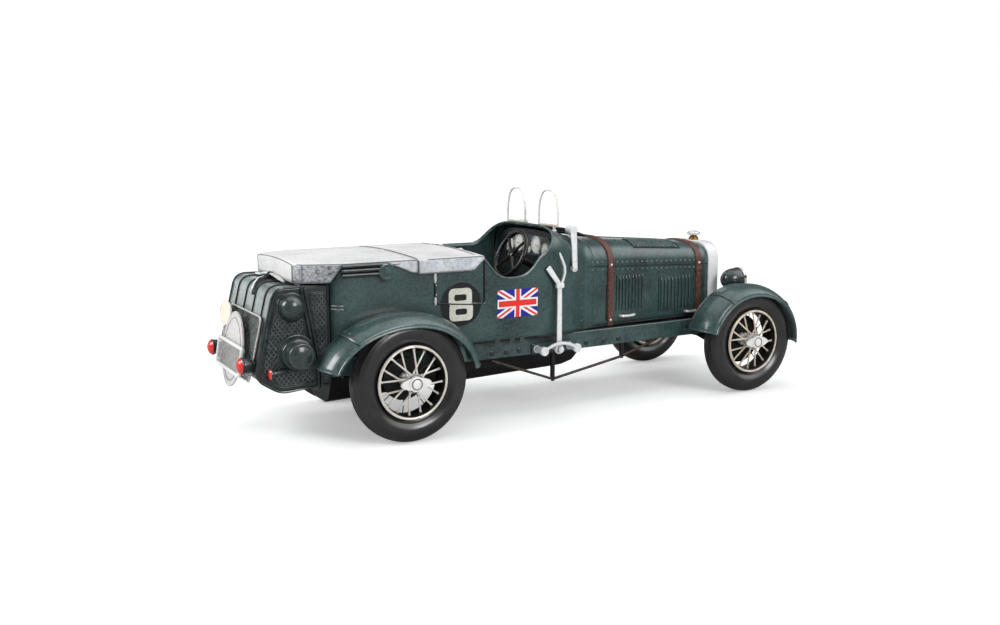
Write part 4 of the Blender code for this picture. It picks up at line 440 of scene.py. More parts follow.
def piece(name, shape, body, nodes=(), wall=0.0, inside=None, edge=0.0, crease=38):
    """One visible piece from a shape: welded, faced outwards, and given a wall or eased edges."""
    mesh = bpy.data.meshes.new(name)
    mesh.from_pydata([AXLE + point * MM for point in shape.points], [], shape.faces)
    looks = sorted(set(shape.looks))
    for look in looks:
        mesh.materials.append(FINISH[look])
    mesh.polygons.foreach_set("material_index", [looks.index(look) for look in shape.looks])
    tidy = bmesh.new()
    tidy.from_mesh(mesh)
    bmesh.ops.remove_doubles(tidy, verts=tidy.verts, dist=WELD)
    bmesh.ops.recalc_face_normals(tidy, faces=tidy.faces)
    if inside:
        middle = AXLE + Vector(inside) * MM
        facing = sum(face.normal.dot(face.calc_center_median() - middle) * face.calc_area()
                     for face in tidy.faces)
        if facing < 0:
            bmesh.ops.reverse_faces(tidy, faces=tidy.faces)
    tidy.to_mesh(mesh)
    tidy.free()
    mesh.shade_smooth()
    mesh.set_sharp_from_angle(angle=math.radians(crease))
    item = show(name, mesh, body, nodes)
    if wall:
        sheet = item.modifiers.new("sheet", "SOLIDIFY")
        sheet.thickness = wall * MM
        sheet.offset = -1
    if edge:
        soft = item.modifiers.new("soft_edges", "BEVEL")
        soft.width = edge * MM
        soft.segments = 3
        soft.angle_limit = math.radians(crease)
    return item


def softened(node, body, look, edge=0.35):
    """A copy of a frame piece with its shape kept, its edges eased and a finish put on."""
    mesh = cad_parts[node].data.copy()
    mesh.materials.clear()
    mesh.materials.append(FINISH[look])
    mesh.polygons.foreach_set("material_index", [0] * len(mesh.polygons))
    tidy = bmesh.new()
    tidy.from_mesh(mesh)
    bmesh.ops.remove_doubles(tidy, verts=tidy.verts, dist=WELD)
    bmesh.ops.dissolve_limit(tidy, angle_limit=math.radians(2), verts=tidy.verts, edges=tidy.edges)
    bmesh.ops.recalc_face_normals(tidy, faces=tidy.faces)
    tidy.to_mesh(mesh)
    tidy.free()
    mesh.shade_smooth()
    mesh.set_sharp_from_angle(angle=math.radians(42))
    item = show(node + "_finished", mesh, body, (node,))
    soft = item.modifiers.new("soft_edges", "BEVEL")
    soft.width = edge * MM
    soft.segments = 2
    soft.angle_limit = math.radians(42)
    return item


# Curve helpers
def steps(first, last, count):
    return [first + (last - first) * k / count for k in range(count + 1)]


def turns(count):
    """Angles spaced evenly round a circle."""
    return [math.tau * k / count for k in range(count)]


def smooth(keys):
    """A curve through (x, value) keys that never overshoots them."""
    xs = [key[0] for key in keys]
    ys = [key[1] for key in keys]
    slopes = [(ys[k + 1] - ys[k]) / (xs[k + 1] - xs[k]) for k in range(len(xs) - 1)]
    leans = [slopes[0]]
    for before, after in zip(slopes, slopes[1:]):
        leans.append(0.0 if before * after <= 0 else 2 * before * after / (before + after))
    leans.append(slopes[-1])

    def at(x):
        x = min(max(x, xs[0]), xs[-1])
        k = max(0, min(len(xs) - 2, sum(1 for key in xs if key <= x) - 1))
        run = xs[k + 1] - xs[k]
        t = (x - xs[k]) / run
        back = 1 - t
        return (ys[k] * (1 + 2 * t) * back * back + leans[k] * run * t * back * back
                + ys[k + 1] * t * t * (3 - 2 * t) - leans[k + 1] * run * t * t * back)
    return at


def rounded(corners, count=6):
    """An outline from corners given as (u, v, radius)."""
    outline = []
    for k, (u, v, radius) in enumerate(corners):
        here = Vector((u, v))
        before = Vector(corners[k - 1][:2]) - here
        after = Vector(corners[(k + 1) % len(corners)][:2]) - here
        if radius <= 0:
            outline.append((u, v))
            continue
        half = before.angle(after) / 2
        reach = min(radius / math.tan(half), before.length * 0.49, after.length * 0.49)
        start = here + before.normalized() * reach
        end = here + after.normalized() * reach
        for t in steps(0, 1, count):
            point = start * (1 - t) ** 2 + here * 2 * t * (1 - t) + end * t ** 2
            outline.append((point.x, point.y))
    return outline


def box_of(low, high):
    """The corners of a box, from two opposite ones."""
    return [low, (high[0], low[1]), high, (low[0], high[1])]


def rounded_box(low, high, radius, count):
    return rounded([(u, v, radius) for u, v in box_of(low, high)], count)


def evenly(points, count):
    """The points of a line, moved along it to equal distances."""
    points = [Vector(point) for point in points]
    runs = [0.0]
    for first, second in zip(points, points[1:]):
        runs.append(runs[-1] + (second - first).length)
    result = []
    k = 0
    for share in steps(0, 1, count):
        want = runs[-1] * share
        while k < len(runs) - 2 and runs[k + 1] < want:
            k += 1
        span = runs[k + 1] - runs[k]
        result.append(points[k].lerp(points[k + 1], (want - runs[k]) / span if span else 0.0))
    return result


def lattice(outline, pitch, lean):
    """Straight wires at a lean across a convex outline, as pairs of ends."""
    run = Vector((math.cos(lean), math.sin(lean)))
    across = Vector((-run.y, run.x))
    corners = [Vector(pair) for pair in outline]
    levels = [corner.dot(across) for corner in corners]
    wires = []
    level = math.floor(min(levels) / pitch) * pitch + pitch
    while level < max(levels):
        hits = []
        for first, second in zip(corners, corners[1:] + corners[:1]):
            a = first.dot(across) - level
            b = second.dot(across) - level
            if (a < 0) != (b < 0):
                hits.append(first.lerp(second, a / (a - b)))
        if len(hits) == 2 and (hits[0] - hits[1]).length > 0.4:
            wires.append(hits)
        level += pitch
    return wires


def crossed(outline, pitch, degrees):
    """The wires of a mesh: straight ones at a lean, and others at the opposite lean."""
    return [wire for lean in (degrees, -degrees) for wire in lattice(outline, pitch, math.radians(lean))]


def flipped(hand):
    """A mirror across the middle plane for the right side, and nothing for the left."""
    return Matrix.Scale(-1, 4, (0, 1, 0)) if hand < 0 else Matrix.Identity(4)


def rail_face(x, rear):
    """How far out a face of a side rail lies: level at the rear, then drawing in to the front."""
    return rear - max(0.0, RAIL_TAPER * (x - RAIL_TAPER_FROM) / RAIL_TAPER_RUN)


# Studio: places in metres, angles in degrees
CAMERA_ANGLES = (-29.481, 9.241, -0.021)
CAMERA_AHEAD = -0.2389
CAMERA_ASIDE = -0.5836
CAMERA_UP = 0.1678
LENS_MM = 37.634
SENSOR_MM = 36.0
FLOOR_HALF = 4


def make_studio():
    """The photo's camera, a pale room with three soft lamps, and a white floor."""
    scene = bpy.context.scene
    scene.view_settings.view_transform = "Standard"
    lens = bpy.data.cameras.new("camera")
    lens.sensor_width = SENSOR_MM
    lens.lens = LENS_MM
    lens.clip_start = 0.01
    camera = bpy.data.objects.new("camera", lens)
    scene.collection.objects.link(camera)
    turn, rise, roll = (math.radians(angle) for angle in CAMERA_ANGLES)
    back = Vector((math.sin(turn) * math.cos(rise), -math.cos(turn) * math.cos(rise), math.sin(rise)))
    right = Vector((math.cos(turn), math.sin(turn), 0))
    facing = Matrix((right, back.cross(right), back)).transposed().to_4x4()
    facing.translation = (AXLE.x + CAMERA_AHEAD, CAMERA_ASIDE, CAMERA_UP)
    camera.matrix_world = facing @ Matrix.Rotation(roll, 4, "Z")
    scene.camera = camera

    world = bpy.data.worlds.new("studio")
    world.use_nodes = True
    scene.world = world
    tree = world.node_tree
    light = put(tree, "LightPath").outputs
    aim = put(tree, "TexCoord").outputs["Generated"]
    part = put(tree, "SeparateXYZ", {0: aim}).outputs
    wall = calc(tree, "MULTIPLY", spread(tree, part["Y"], 0.5, 0.85),
                spread(tree, part["Z"], 0.14, 0.32, 1.0, 0.0))
    above = put(tree, "VectorMath", {0: aim, 1: (0.62, -0.33, 0.71)},
                operation="DOT_PRODUCT").outputs["Value"]
    mirrored = tint(tree, wall, (0.12, 0.125, 0.13, 1), (1.1, 1.1, 1.1, 1))
    mirrored = tint(tree, spread(tree, above, 0.80, 0.97), mirrored, (2.2, 2.2, 2.2, 1))
    sky = tint(tree, light["Is Glossy Ray"], (0.46, 0.47, 0.48, 1), mirrored)
    seen = calc(tree, "MAXIMUM", light["Is Camera Ray"], light["Is Transmission Ray"])
    sky = tint(tree, seen, sky, (1, 1, 1, 1))
    tree.links.new(sky, tree.nodes["Background"].inputs["Color"])

    lamps = (
        ("top_panel", (0.0, 0.05, 0.85), 0.85, 2.5),
        ("side_panel", (0.15, -1.05, 0.60), 0.45, 5.3),
        ("rear_panel", (-0.90, 0.15, 0.55), 0.4, 5.4),
    )
    for name, spot, size, power in lamps:
        lamp = bpy.data.lights.new(name, "AREA")
        lamp.shape = "SQUARE"
        lamp.size = size
        lamp.energy = power
        item = bpy.data.objects.new(name, lamp)
        item.location = spot
        item.rotation_euler = Vector(spot).to_track_quat("Z", "Y").to_euler()
        scene.collection.objects.link(item)

    mesh = bpy.data.meshes.new("floor")
    corners = box_of((-FLOOR_HALF, -FLOOR_HALF), (FLOOR_HALF, FLOOR_HALF))
    mesh.from_pydata([(x, y, 0) for x, y in corners], [], [(0, 1, 2, 3)])
    floor = bpy.data.objects.new("floor", mesh)
    scene.collection.objects.link(floor)
    pale = bpy.data.materials.new("pale_floor")
    pale.use_nodes = True
    tree = pale.node_tree
    shade = tree.nodes["Principled BSDF"]
    place = put(tree, "TexCoord").outputs["Object"]
    light = put(tree, "LightPath").outputs
    tone = tint(tree, cloud(tree, place, 3.0), (0.90, 0.90, 0.90, 1), (0.93, 0.93, 0.93, 1))
    tone = tint(tree, light["Is Glossy Ray"], tone, (0.30, 0.30, 0.30, 1))
    tree.links.new(tone, shade.inputs["Base Color"])
    shade.inputs["Roughness"].default_value = 0.9
    shade.inputs["Specular IOR Level"].default_value = 0.0
    reach = put(tree, "VectorMath", {0: place}, operation="LENGTH").outputs["Value"]
    fill = tint(tree, spread(tree, reach, 0.3, 1.3), (0.34, 0.34, 0.34, 1), (0.70, 0.70, 0.70, 1))
    glow = tint(tree, light["Is Camera Ray"], (0, 0, 0, 1), fill)
    tree.links.new(glow, shade.inputs["Emission Color"])
    shade.inputs["Emission Strength"].default_value = 1.0
    mesh.materials.append(pale)


# Body
HALF_WIDTH = smooth([(-39.7, 35.5), (-37.4, 40.54), (-33.6, 43.42), (-28.2, 44.5), (0, 44.5), (95, 44.5),
                     (108.02, 42.94), (120.2, 39.04), (137, 31.5)])
BONNET_HALF = smooth([(137.3, 31.5), (155.3, 28.6), (200.5, 25.3), (245.7, 22.0)])
ELBOW = [(55.2, 64.9, 0), (65.6, 52.3, 16.0), (84.6, 52.3, 18.0), (101.5, 72.8, 0)]


def share_of(x, first, last):
    return min(1.0, max(0.0, (x - first) / (last - first)))


def section(x):
    """Half-width, tuck, shoulder height, top height and squareness of the body or bonnet at a station."""
    if x > BODY_FRONT + 0.15:
        share = (x - BONNET_REAR) / (BONNET_FRONT - BONNET_REAR)
        top = BONNET_TOP - BONNET_FALL * share
        shoulder = top - BONNET_SHOULDER + BONNET_SHOULDER_RISE * share
        return BONNET_HALF(x), 0.0, shoulder, top, BONNET_SQUARE
    share = share_of(x, LIP_X, BODY_FRONT)
    top = SCUTTLE_TOP - SCUTTLE_FALL * share
    tuck = BODY_TUCK * (1 - share_of(x, TUCK_END, BODY_FRONT))
    shoulder = top - SCUTTLE_SHOULDER + SCUTTLE_SHOULDER_RISE * share
    return HALF_WIDTH(x), tuck, shoulder, top, BODY_SQUARE - BODY_SQUARE_LOSS * share


def side_reach(x, z):
    """Distance of the outer side from the middle plane."""
    half, tuck, shoulder, top, square = section(x)
    if z <= shoulder:
        rise = (z - BODY_BOTTOM) / (shoulder - BODY_BOTTOM)
        return half - tuck * max(0.0, 1 - rise / 0.7) ** 2.15
    return half * max(0.0, 1 - ((z - shoulder) / (top - shoulder)) ** square) ** (1 / square)


def crown(x, y):
    """Height of the outer top above a point."""
    half, _, shoulder, top, square = section(x)
    return shoulder + (top - shoulder) * max(0.0, 1 - (abs(y) / half) ** square) ** (1 / square)


def on_side(x, z, hand, lift=0.0):
    return Vector((x, hand * (side_reach(x, z) + lift), z))


def half_section(x, limit=None):
    """The section of one side from its lower edge up to a height, or up to the middle of the top."""
    half, _, shoulder, top, square = section(x)
    end = math.pi / 2
    if limit is not None:
        if limit <= shoulder:
            return [(side_reach(x, z), z) for z in steps(BODY_BOTTOM, limit, 16)]
        end = math.asin(min(1.0, ((limit - shoulder) / (top - shoulder)) ** (square / 2)))
    line = [(side_reach(x, z), z) for z in steps(BODY_BOTTOM, shoulder, 14)[:-1]]
    for angle in steps(0, end, 22):
        line.append((half * max(0.0, math.cos(angle)) ** (2 / square),
                     shoulder + (top - shoulder) * math.sin(angle) ** (2 / square)))
    return line


def elbow_height(x):
    """Height of the cut-out for the driver's elbow, far up where there is none."""
    line = rounded(ELBOW, 10)
    for (x0, z0), (x1, z1) in zip(line, line[1:]):
        if x0 <= x <= x1 and x1 > x0:
            return z0 + (z1 - z0) * (x - x0) / (x1 - x0)
    return FAR


def rim_height(x, hand):
    """Height of the body's upper edge on one side."""
    sweep = BODY_TOP
    if x > LIP_START:
        sweep += (SCUTTLE_TOP - BODY_TOP) * share_of(x, LIP_START, LIP_X) ** LIP_POWER
    return min(sweep, elbow_height(x)) if hand < 0 else sweep


def lip_stations():
    """Stations of the scuttle's swept lip, spaced evenly round the arch."""
    _, _, shoulder, top, square = section(LIP_START)
    first = math.asin(((BODY_TOP - shoulder) / (top - shoulder)) ** (square / 2))
    found = []
    for angle in steps(first, math.pi / 2, 26):
        z = shoulder + (top - shoulder) * math.sin(angle) ** (2 / square)
        climb = max(0.0, (z - BODY_TOP) / (SCUTTLE_TOP - BODY_TOP))
        found.append(LIP_START + (LIP_X - LIP_START) * climb ** (1 / LIP_POWER))
    return found


def body_columns(hand):
    stations = steps(BODY_REAR, -28, 10) + steps(-28, 54, 24)[1:] + steps(54, LIP_START, 34)[1:-1]
    stations += lip_stations() + steps(LIP_X, BODY_FRONT, 16)[1:]
    columns = []
    for x in stations:
        limit = None if x >= LIP_X - 1e-6 else rim_height(x, hand)
        line = evenly(half_section(x, limit), 34)
        columns.append([Vector((x, hand * point.x, point.y)) for point in line])
    return stations, columns


def make_body():
    """The body sheet with its back, rolled edges and a painted shadow line along its foot."""
    shell = Shape()
    rims = []
    ends = []
    for hand in HANDS:
        stations, columns = body_columns(hand)
        shell.grid(columns, "green")
        rims.append([column[-1] for x, column in zip(stations, columns) if x <= LIP_X + 1e-6])
        ends.append(columns[0])
    back = [[first.lerp(second, t) for t in steps(0, 1, 8)] for first, second in zip(*ends)]
    shell.grid(back, "green")
    piece("body_shell", shell, "chassis", ("body_tub",), wall=1.2, inside=(50, 0, 35))
    edge = Shape()
    path = rims[0] + list(reversed(rims[1]))[1:]
    edge.tube([point + Vector((0, 0, 0.1)) for point in path], 0.75, "green", 8)
    # Painted shadow: a dark line along the foot, where the body meets the rail
    for hand in HANDS:
        foot = [on_side(x, BODY_BOTTOM + 0.5, hand, 0.1) for x in steps(-34, 133, 60)]
        edge.tube(foot, 0.6, "seam", 6)
    lip = [Vector((BODY_FRONT - 0.4, y, z)) for y, z in half_section(BODY_FRONT - 0.4)]
    band = [Vector((p.x, -p.y, p.z)) for p in lip] + list(reversed(lip))[1:]
    edge.tube([p + Vector((0, 0, 0.1)) for p in band], 0.4, "green", 6)
    piece("body_edges", edge, "chassis")


# Bonnet
def louvre(shape, x, low, high, hand, width=1.9, height=0.95):
    """One pressed vent: a rib that swells from the sheet, steep at its rear edge."""
    rows = []
    for t in steps(0, 1, 12):
        z = low + (high - low) * t
        swell = height * min(1.0, math.sin(math.pi * t) * 3.2) ** 0.6
        row = []
        for across, share in ((-0.5, 0.0), (-0.42, 0.7), (-0.25, 1.0), (0.05, 0.8), (0.32, 0.3),
                              (0.5, 0.0)):
            row.append(on_side(x + width * across, z, hand, swell * share - 0.05))
        rows.append(row)
    shape.grid(rows, "green")
    # Painted shade: a dark line behind the rib for its shadowed slot
    slot_shade = [on_side(x - width * 0.56, z, hand, 0.02) for z in steps(low + 0.6, high - 0.6, 6)]
    shape.tube(slot_shade, 0.22, "seam", 5)


def pull_handle(shape, first, last, z, hand):
    """A bent wire handle on the bonnet's side."""
    path = [on_side(first, z, hand, -0.3), on_side(first + 0.4, z, hand, 1.0),
            on_side(first + 1.6, z, hand, 1.7), on_side((first + last) / 2, z - 0.2, hand, 1.9),
            on_side(last - 1.6, z, hand, 1.7), on_side(last - 0.4, z, hand, 1.0),
            on_side(last, z, hand, -0.3)]
    shape.tube(evenly(path, 18), 0.95, "silver", 8)


def make_bonnet():
    """The bonnet sheet, its vents, hinge lines, rivets and handles, and what goes with it."""
    shell = Shape()
    rows = []
    for x in steps(BONNET_REAR, BONNET_FRONT, 30):
        line = evenly(half_section(x), 30)
        row = [Vector((x, -p.x, p.y)) for p in line]
        rows.append(row + [Vector((x, p.x, p.y)) for p in reversed(line[:-1])])
    shell.grid(rows, "green")
    piece("bonnet_panels", shell, "chassis", ("bonnet",), wall=1.0, inside=(190, 0, 30))
    vents = Shape()
    trim = Shape()
    for hand in HANDS:
        for x in steps(166.6, 186.2, 7):
            louvre(vents, x, 22.5, 46.0, hand)
        for x in steps(203.2, 228.8, 8):
            louvre(vents, x, 19.2, 42.6, hand)
        # Painted shade: dark lines for the shadowed grooves between the bonnet's panels
        for x, low, high in ((154.6, 17.8, 41.0), (163.2, 23.5, 46.5), (200.2, 19.5, 43.0)):
            trim.tube([on_side(x, z, hand, 0.02) for z in steps(low, high, 6)], 0.35, "seam", 6)
        # The dark hinge line is the hinge together with painted shade beneath it
        hinge = [on_side(x, section(x)[2], hand, 0.05)
                 for x in steps(BONNET_REAR + 0.6, BONNET_FRONT - 0.6, 26)]
        trim.tube(hinge, 0.42, "seam", 6)
        # Painted shadow: a dark line along the bonnet's foot, where it meets the rail
        foot = [on_side(x, BODY_BOTTOM + 0.4, hand, 0.05)
                for x in steps(BONNET_REAR + 0.6, BONNET_FRONT - 0.6, 20)]
        trim.tube(foot, 0.4, "seam", 6)
        for x in (142.0 + 4.3 * k for k in range(23)):
            if any(abs(x - strap) < 3.4 for _, strap in STRAPS):
                continue
            for drop in (2.3, -2.5):
                z = section(x)[2] + drop
                spot = on_side(x, z, hand)
                normal = Vector((0, hand, 0.25 if drop > 0 else 0.0))
                trim.dome(spot, normal, 1.0, 0.7, "green", 10)
        pull_handle(trim, 166.5, 178.8, 19.3, hand)
        pull_handle(trim, 224.8, 234.6, 17.2, hand)
        start, end = 181, 222
        inner = smooth([(start, 9.0), (end, 5.0)])
        outer = smooth([(start, 22.0), (end, 19.4)])
        for x in steps(183.6, 219.6, 13):
            line = [Vector((x, hand * y, crown(x, y) + 0.1))
                    for y in steps(inner(x) + 0.8, outer(x) - 0.8, 8)]
            vents.tube(line, 0.85, "green", 6, flat=0.6)
            # Painted shade: a dark line behind each rib for its shadowed slot
            slot_shade = [point + Vector((-1.2, 0, -0.02)) for point in line]
            vents.tube(slot_shade, 0.28, "seam", 5)
        border = [(start, y) for y in steps(inner(start), outer(start), 8)]
        border += [(x, outer(x)) for x in steps(start, end, 12)[1:]]
        border += [(end, y) for y in steps(outer(end), inner(end), 8)[1:]]
        border += [(x, inner(x)) for x in steps(end, start, 12)[1:-1]]
        trim.tube([Vector((x, hand * y, crown(x, y) + 0.05)) for x, y in border], 0.4, "seam", 6,
                  closed=True)
        for x, y in ((161.0, 14.4), (172.0, 12.6)):
            trim.dome(Vector((x, hand * y, crown(x, y))), (0, 0, 1), 0.8, 0.4, "seam")
    spine = [Vector((x, 0, section(x)[3] + 0.05)) for x in steps(BONNET_REAR + 0.6, BONNET_FRONT - 0.6, 20)]
    trim.tube(spine, 0.5, "green", 8)
    piece("bonnet_louvres", vents, "chassis")
    piece("bonnet_hinges_and_handles", trim, "chassis")
    make_joint_band()
    make_undertray()
    for name, x in STRAPS:
        make_strap(name, x)


def make_joint_band():
    """The scuttle's front edge, a thin sheet lapped over the rear of the bonnet."""
    band = Shape()
    rows = []
    for x, lift in ((133.6, 0.02), (134.6, 0.12), (137.2, 0.3), (140.0, 0.34), (142.9, 0.34), (143.1, 0.2),
                    (143.1, -0.2)):
        side = evenly(half_section(x), 30)
        row = []
        for k, point in enumerate(side):
            run = (side[min(k + 1, 30)] - side[max(k - 1, 0)]).normalized()
            spot = point + Vector((run.y, -run.x)) * lift
            row.append(Vector((x, -spot.x, spot.y)))
        rows.append(row + [Vector((x, -point.y, point.z)) for point in reversed(row[:-1])])
    band.grid(rows, "green")
    piece("scuttle_front_edge", band, "chassis", crease=60)


def make_undertray():
    """A dark tray under the bonnet, held by the lower edges of its sides."""
    tray = Shape()
    rows = []
    for x in steps(127.0, 245.0, 14):
        rail = rail_face(x, 34.8)
        half = min(section(x)[0] - 0.9, rail)
        line = [(-rail, 9.5), (-rail + 0.8, 6.0), (-half + 4.0, 3.2), (-half + 9.0, 2.0), (0, 1.6)]
        rows.append([(x, y, z) for y, z in line] + [(x, -y, z) for y, z in reversed(line[:-1])])
    tray.grid(rows, "black")
    piece("engine_undertray", tray, "chassis", wall=0.6, inside=(190, 0, 30))


def make_strap(name, x):
    """A leather band over the bonnet with a keeper and studs at each side."""
    band = Shape()
    side = evenly(half_section(x), 40)
    loop = [Vector((-p.x, p.y)) for p in side] + [Vector((p.x, p.y)) for p in reversed(side[:-1])]
    rows = []
    for k, point in enumerate(loop):
        ahead = loop[min(k + 1, len(loop) - 1)]
        behind = loop[max(k - 1, 0)]
        run = (ahead - behind).normalized()
        out = Vector((-run.y, run.x))
        row = []
        for across, lift in ((-2.15, 0.15), (-2.15, 0.9), (-1.85, 1.2), (-0.9, 1.3), (0.9, 1.3),
                             (1.85, 1.2), (2.15, 0.9), (2.15, 0.15)):
            spot = point + out * lift
            row.append((x + across, spot.x, spot.y))
        rows.append(row)
    band.grid(rows, "strap", around=True, ends=True)
    for hand in HANDS:
        for across in (-1.6, 1.6):
            stitch = [on_side(x + across, z, hand, 1.22) for z in steps(17, section(x)[2] - 1, 50)]
            for first, second in zip(stitch[::2], stitch[1::2]):
                band.tube([first, second], 0.13, "strap", 5)
        hinge = section(x)[2]
        for z in (hinge + 0.8, 17.6):
            band.dome(on_side(x, z, hand, 1.3), (0, hand, 0), 0.95, 0.6, "silver", 10)
        corners = box_of((-2.6, -1.5), (2.6, 1.5))
        keeper = [on_side(x + a, hinge - 5.2 + b, hand, 1.35) for a, b in corners]
        band.tube(keeper, 0.4, "strap", 6, closed=True)
        for z in steps(hinge - 10, hinge - 22, 4):
            band.dome(on_side(x, z, hand, 1.28), (0, hand, 0), 0.35, 0.1, "seam", 6)
    piece("bonnet_strap_leather_" + name, band, "chassis", ("bonnet_strap_" + name,),
          crease=50)


# Mudguards
WING_OUTER = 65.8
WING_ROLL = 6.6
WING_ACROSS = smooth([(0, 1.2), (0.20, 0.36), (0.42, 0.0), (0.65, WING_ROLL * 0.16),
                      (0.84, WING_ROLL * 0.45), (0.95, WING_ROLL * 0.74), (1, WING_ROLL)])


def wing_point(spec, hand, angle, share, lift=0.0):
    """A point of a mudguard about its wheel centre, by turn round the wheel and share across it."""
    inner, crest_gap, nose_gap, tail_gap = spec
    turn = math.radians(angle)
    reach = TYRE_RADIUS + 1.0 + (nose_gap if math.cos(turn) > 0 else tail_gap)
    crest = Vector((reach * math.cos(turn), 0, (TYRE_RADIUS + 1.0 + crest_gap) * math.sin(turn)))
    point = crest * (1 + (lift - WING_ACROSS(share)) / crest.length)
    return Vector((point.x, hand * (inner + (WING_OUTER - inner) * share + lift * share * 0.5), point.z))


def make_mudguard(end, side, hand, x, spec, angles, seams):
    """One mudguard sheet with its beads, joints and stay."""
    sheet = Shape()
    shares = steps(0, 1, 16)
    sweep = steps(angles[0], angles[1], 54)
    sheet.grid([[wing_point(spec, hand, angle, share) for share in shares] for angle in sweep], "green")
    place = Matrix.Translation((x, 0, 0))
    piece(end + "_wing_" + side, sheet.moved(place), "chassis",
          (end + "_mudguard_" + side,), wall=1.0, inside=(x, hand * HALF_TRACK, 0))
    trim = Shape()
    edge = [wing_point(spec, hand, angle, 1.0, -0.35) for angle in sweep]
    trim.tube(edge, 0.8, "green", 8)
    for angle in angles:
        trim.tube([wing_point(spec, hand, angle, share, -0.3) for share in shares], 0.7, "green", 8)
    trim.tube([wing_point(spec, hand, angle, 0.0, -0.3) for angle in sweep], 0.6, "green", 6)
    for angle, look in seams:
        band = [wing_point(spec, hand, angle, share, 0.05) for share in steps(0.02, 0.98, 18)]
        trim.tube(band, 0.55 if look == "green" else 0.4, look, 6)
        shadow = [wing_point(spec, hand, angle + 1.1, share, 0.0) for share in steps(0.02, 0.98, 18)]
        trim.tube(shadow, 0.25, "seam", 5)
        for share in (0.12, 0.5, 0.93):
            spot = wing_point(spec, hand, angle - 3.0, share)
            trim.dome(spot, wing_point(spec, hand, angle - 3.0, share, 1.0) - spot, 0.75, 0.5, "green")
    if end == "front":
        stay = [wing_point(spec, hand, 150, 0.35, -1.6), wing_point(spec, hand, 150, 0.0, -1.6),
                Vector((-33.5, hand * 38.5, 8.0)), Vector((-33.5, hand * 33.6, 8.0))]
        trim.tube(stay, 1.1, "deep_green", 8)
    piece(end + "_wing_beads_" + side, trim.moved(place), "chassis")


def make_mudguards():
    rear = (44.8, 3.0, 10.0, 18.0)
    front = (44.0, 2.2, 7.5, 6.5)
    for side, hand in SIDES:
        make_mudguard("rear", side, hand, 0.0, rear, (9, 163), ((133, "green"),))
        make_mudguard("front", side, hand, WHEELBASE, front, (-6, 165), ((123, "green"), (41, "green")))


# Wheels
SPOKE_SETS = 8
SPOKE_HUB = 3.4
SPOKE_RIM = 19.2
LIP_RADIUS = 20.5


def round_axle(radius, turn):
    """A place at a turn round a wheel's axle."""
    return Vector((radius * math.cos(turn), 0, radius * math.sin(turn)))


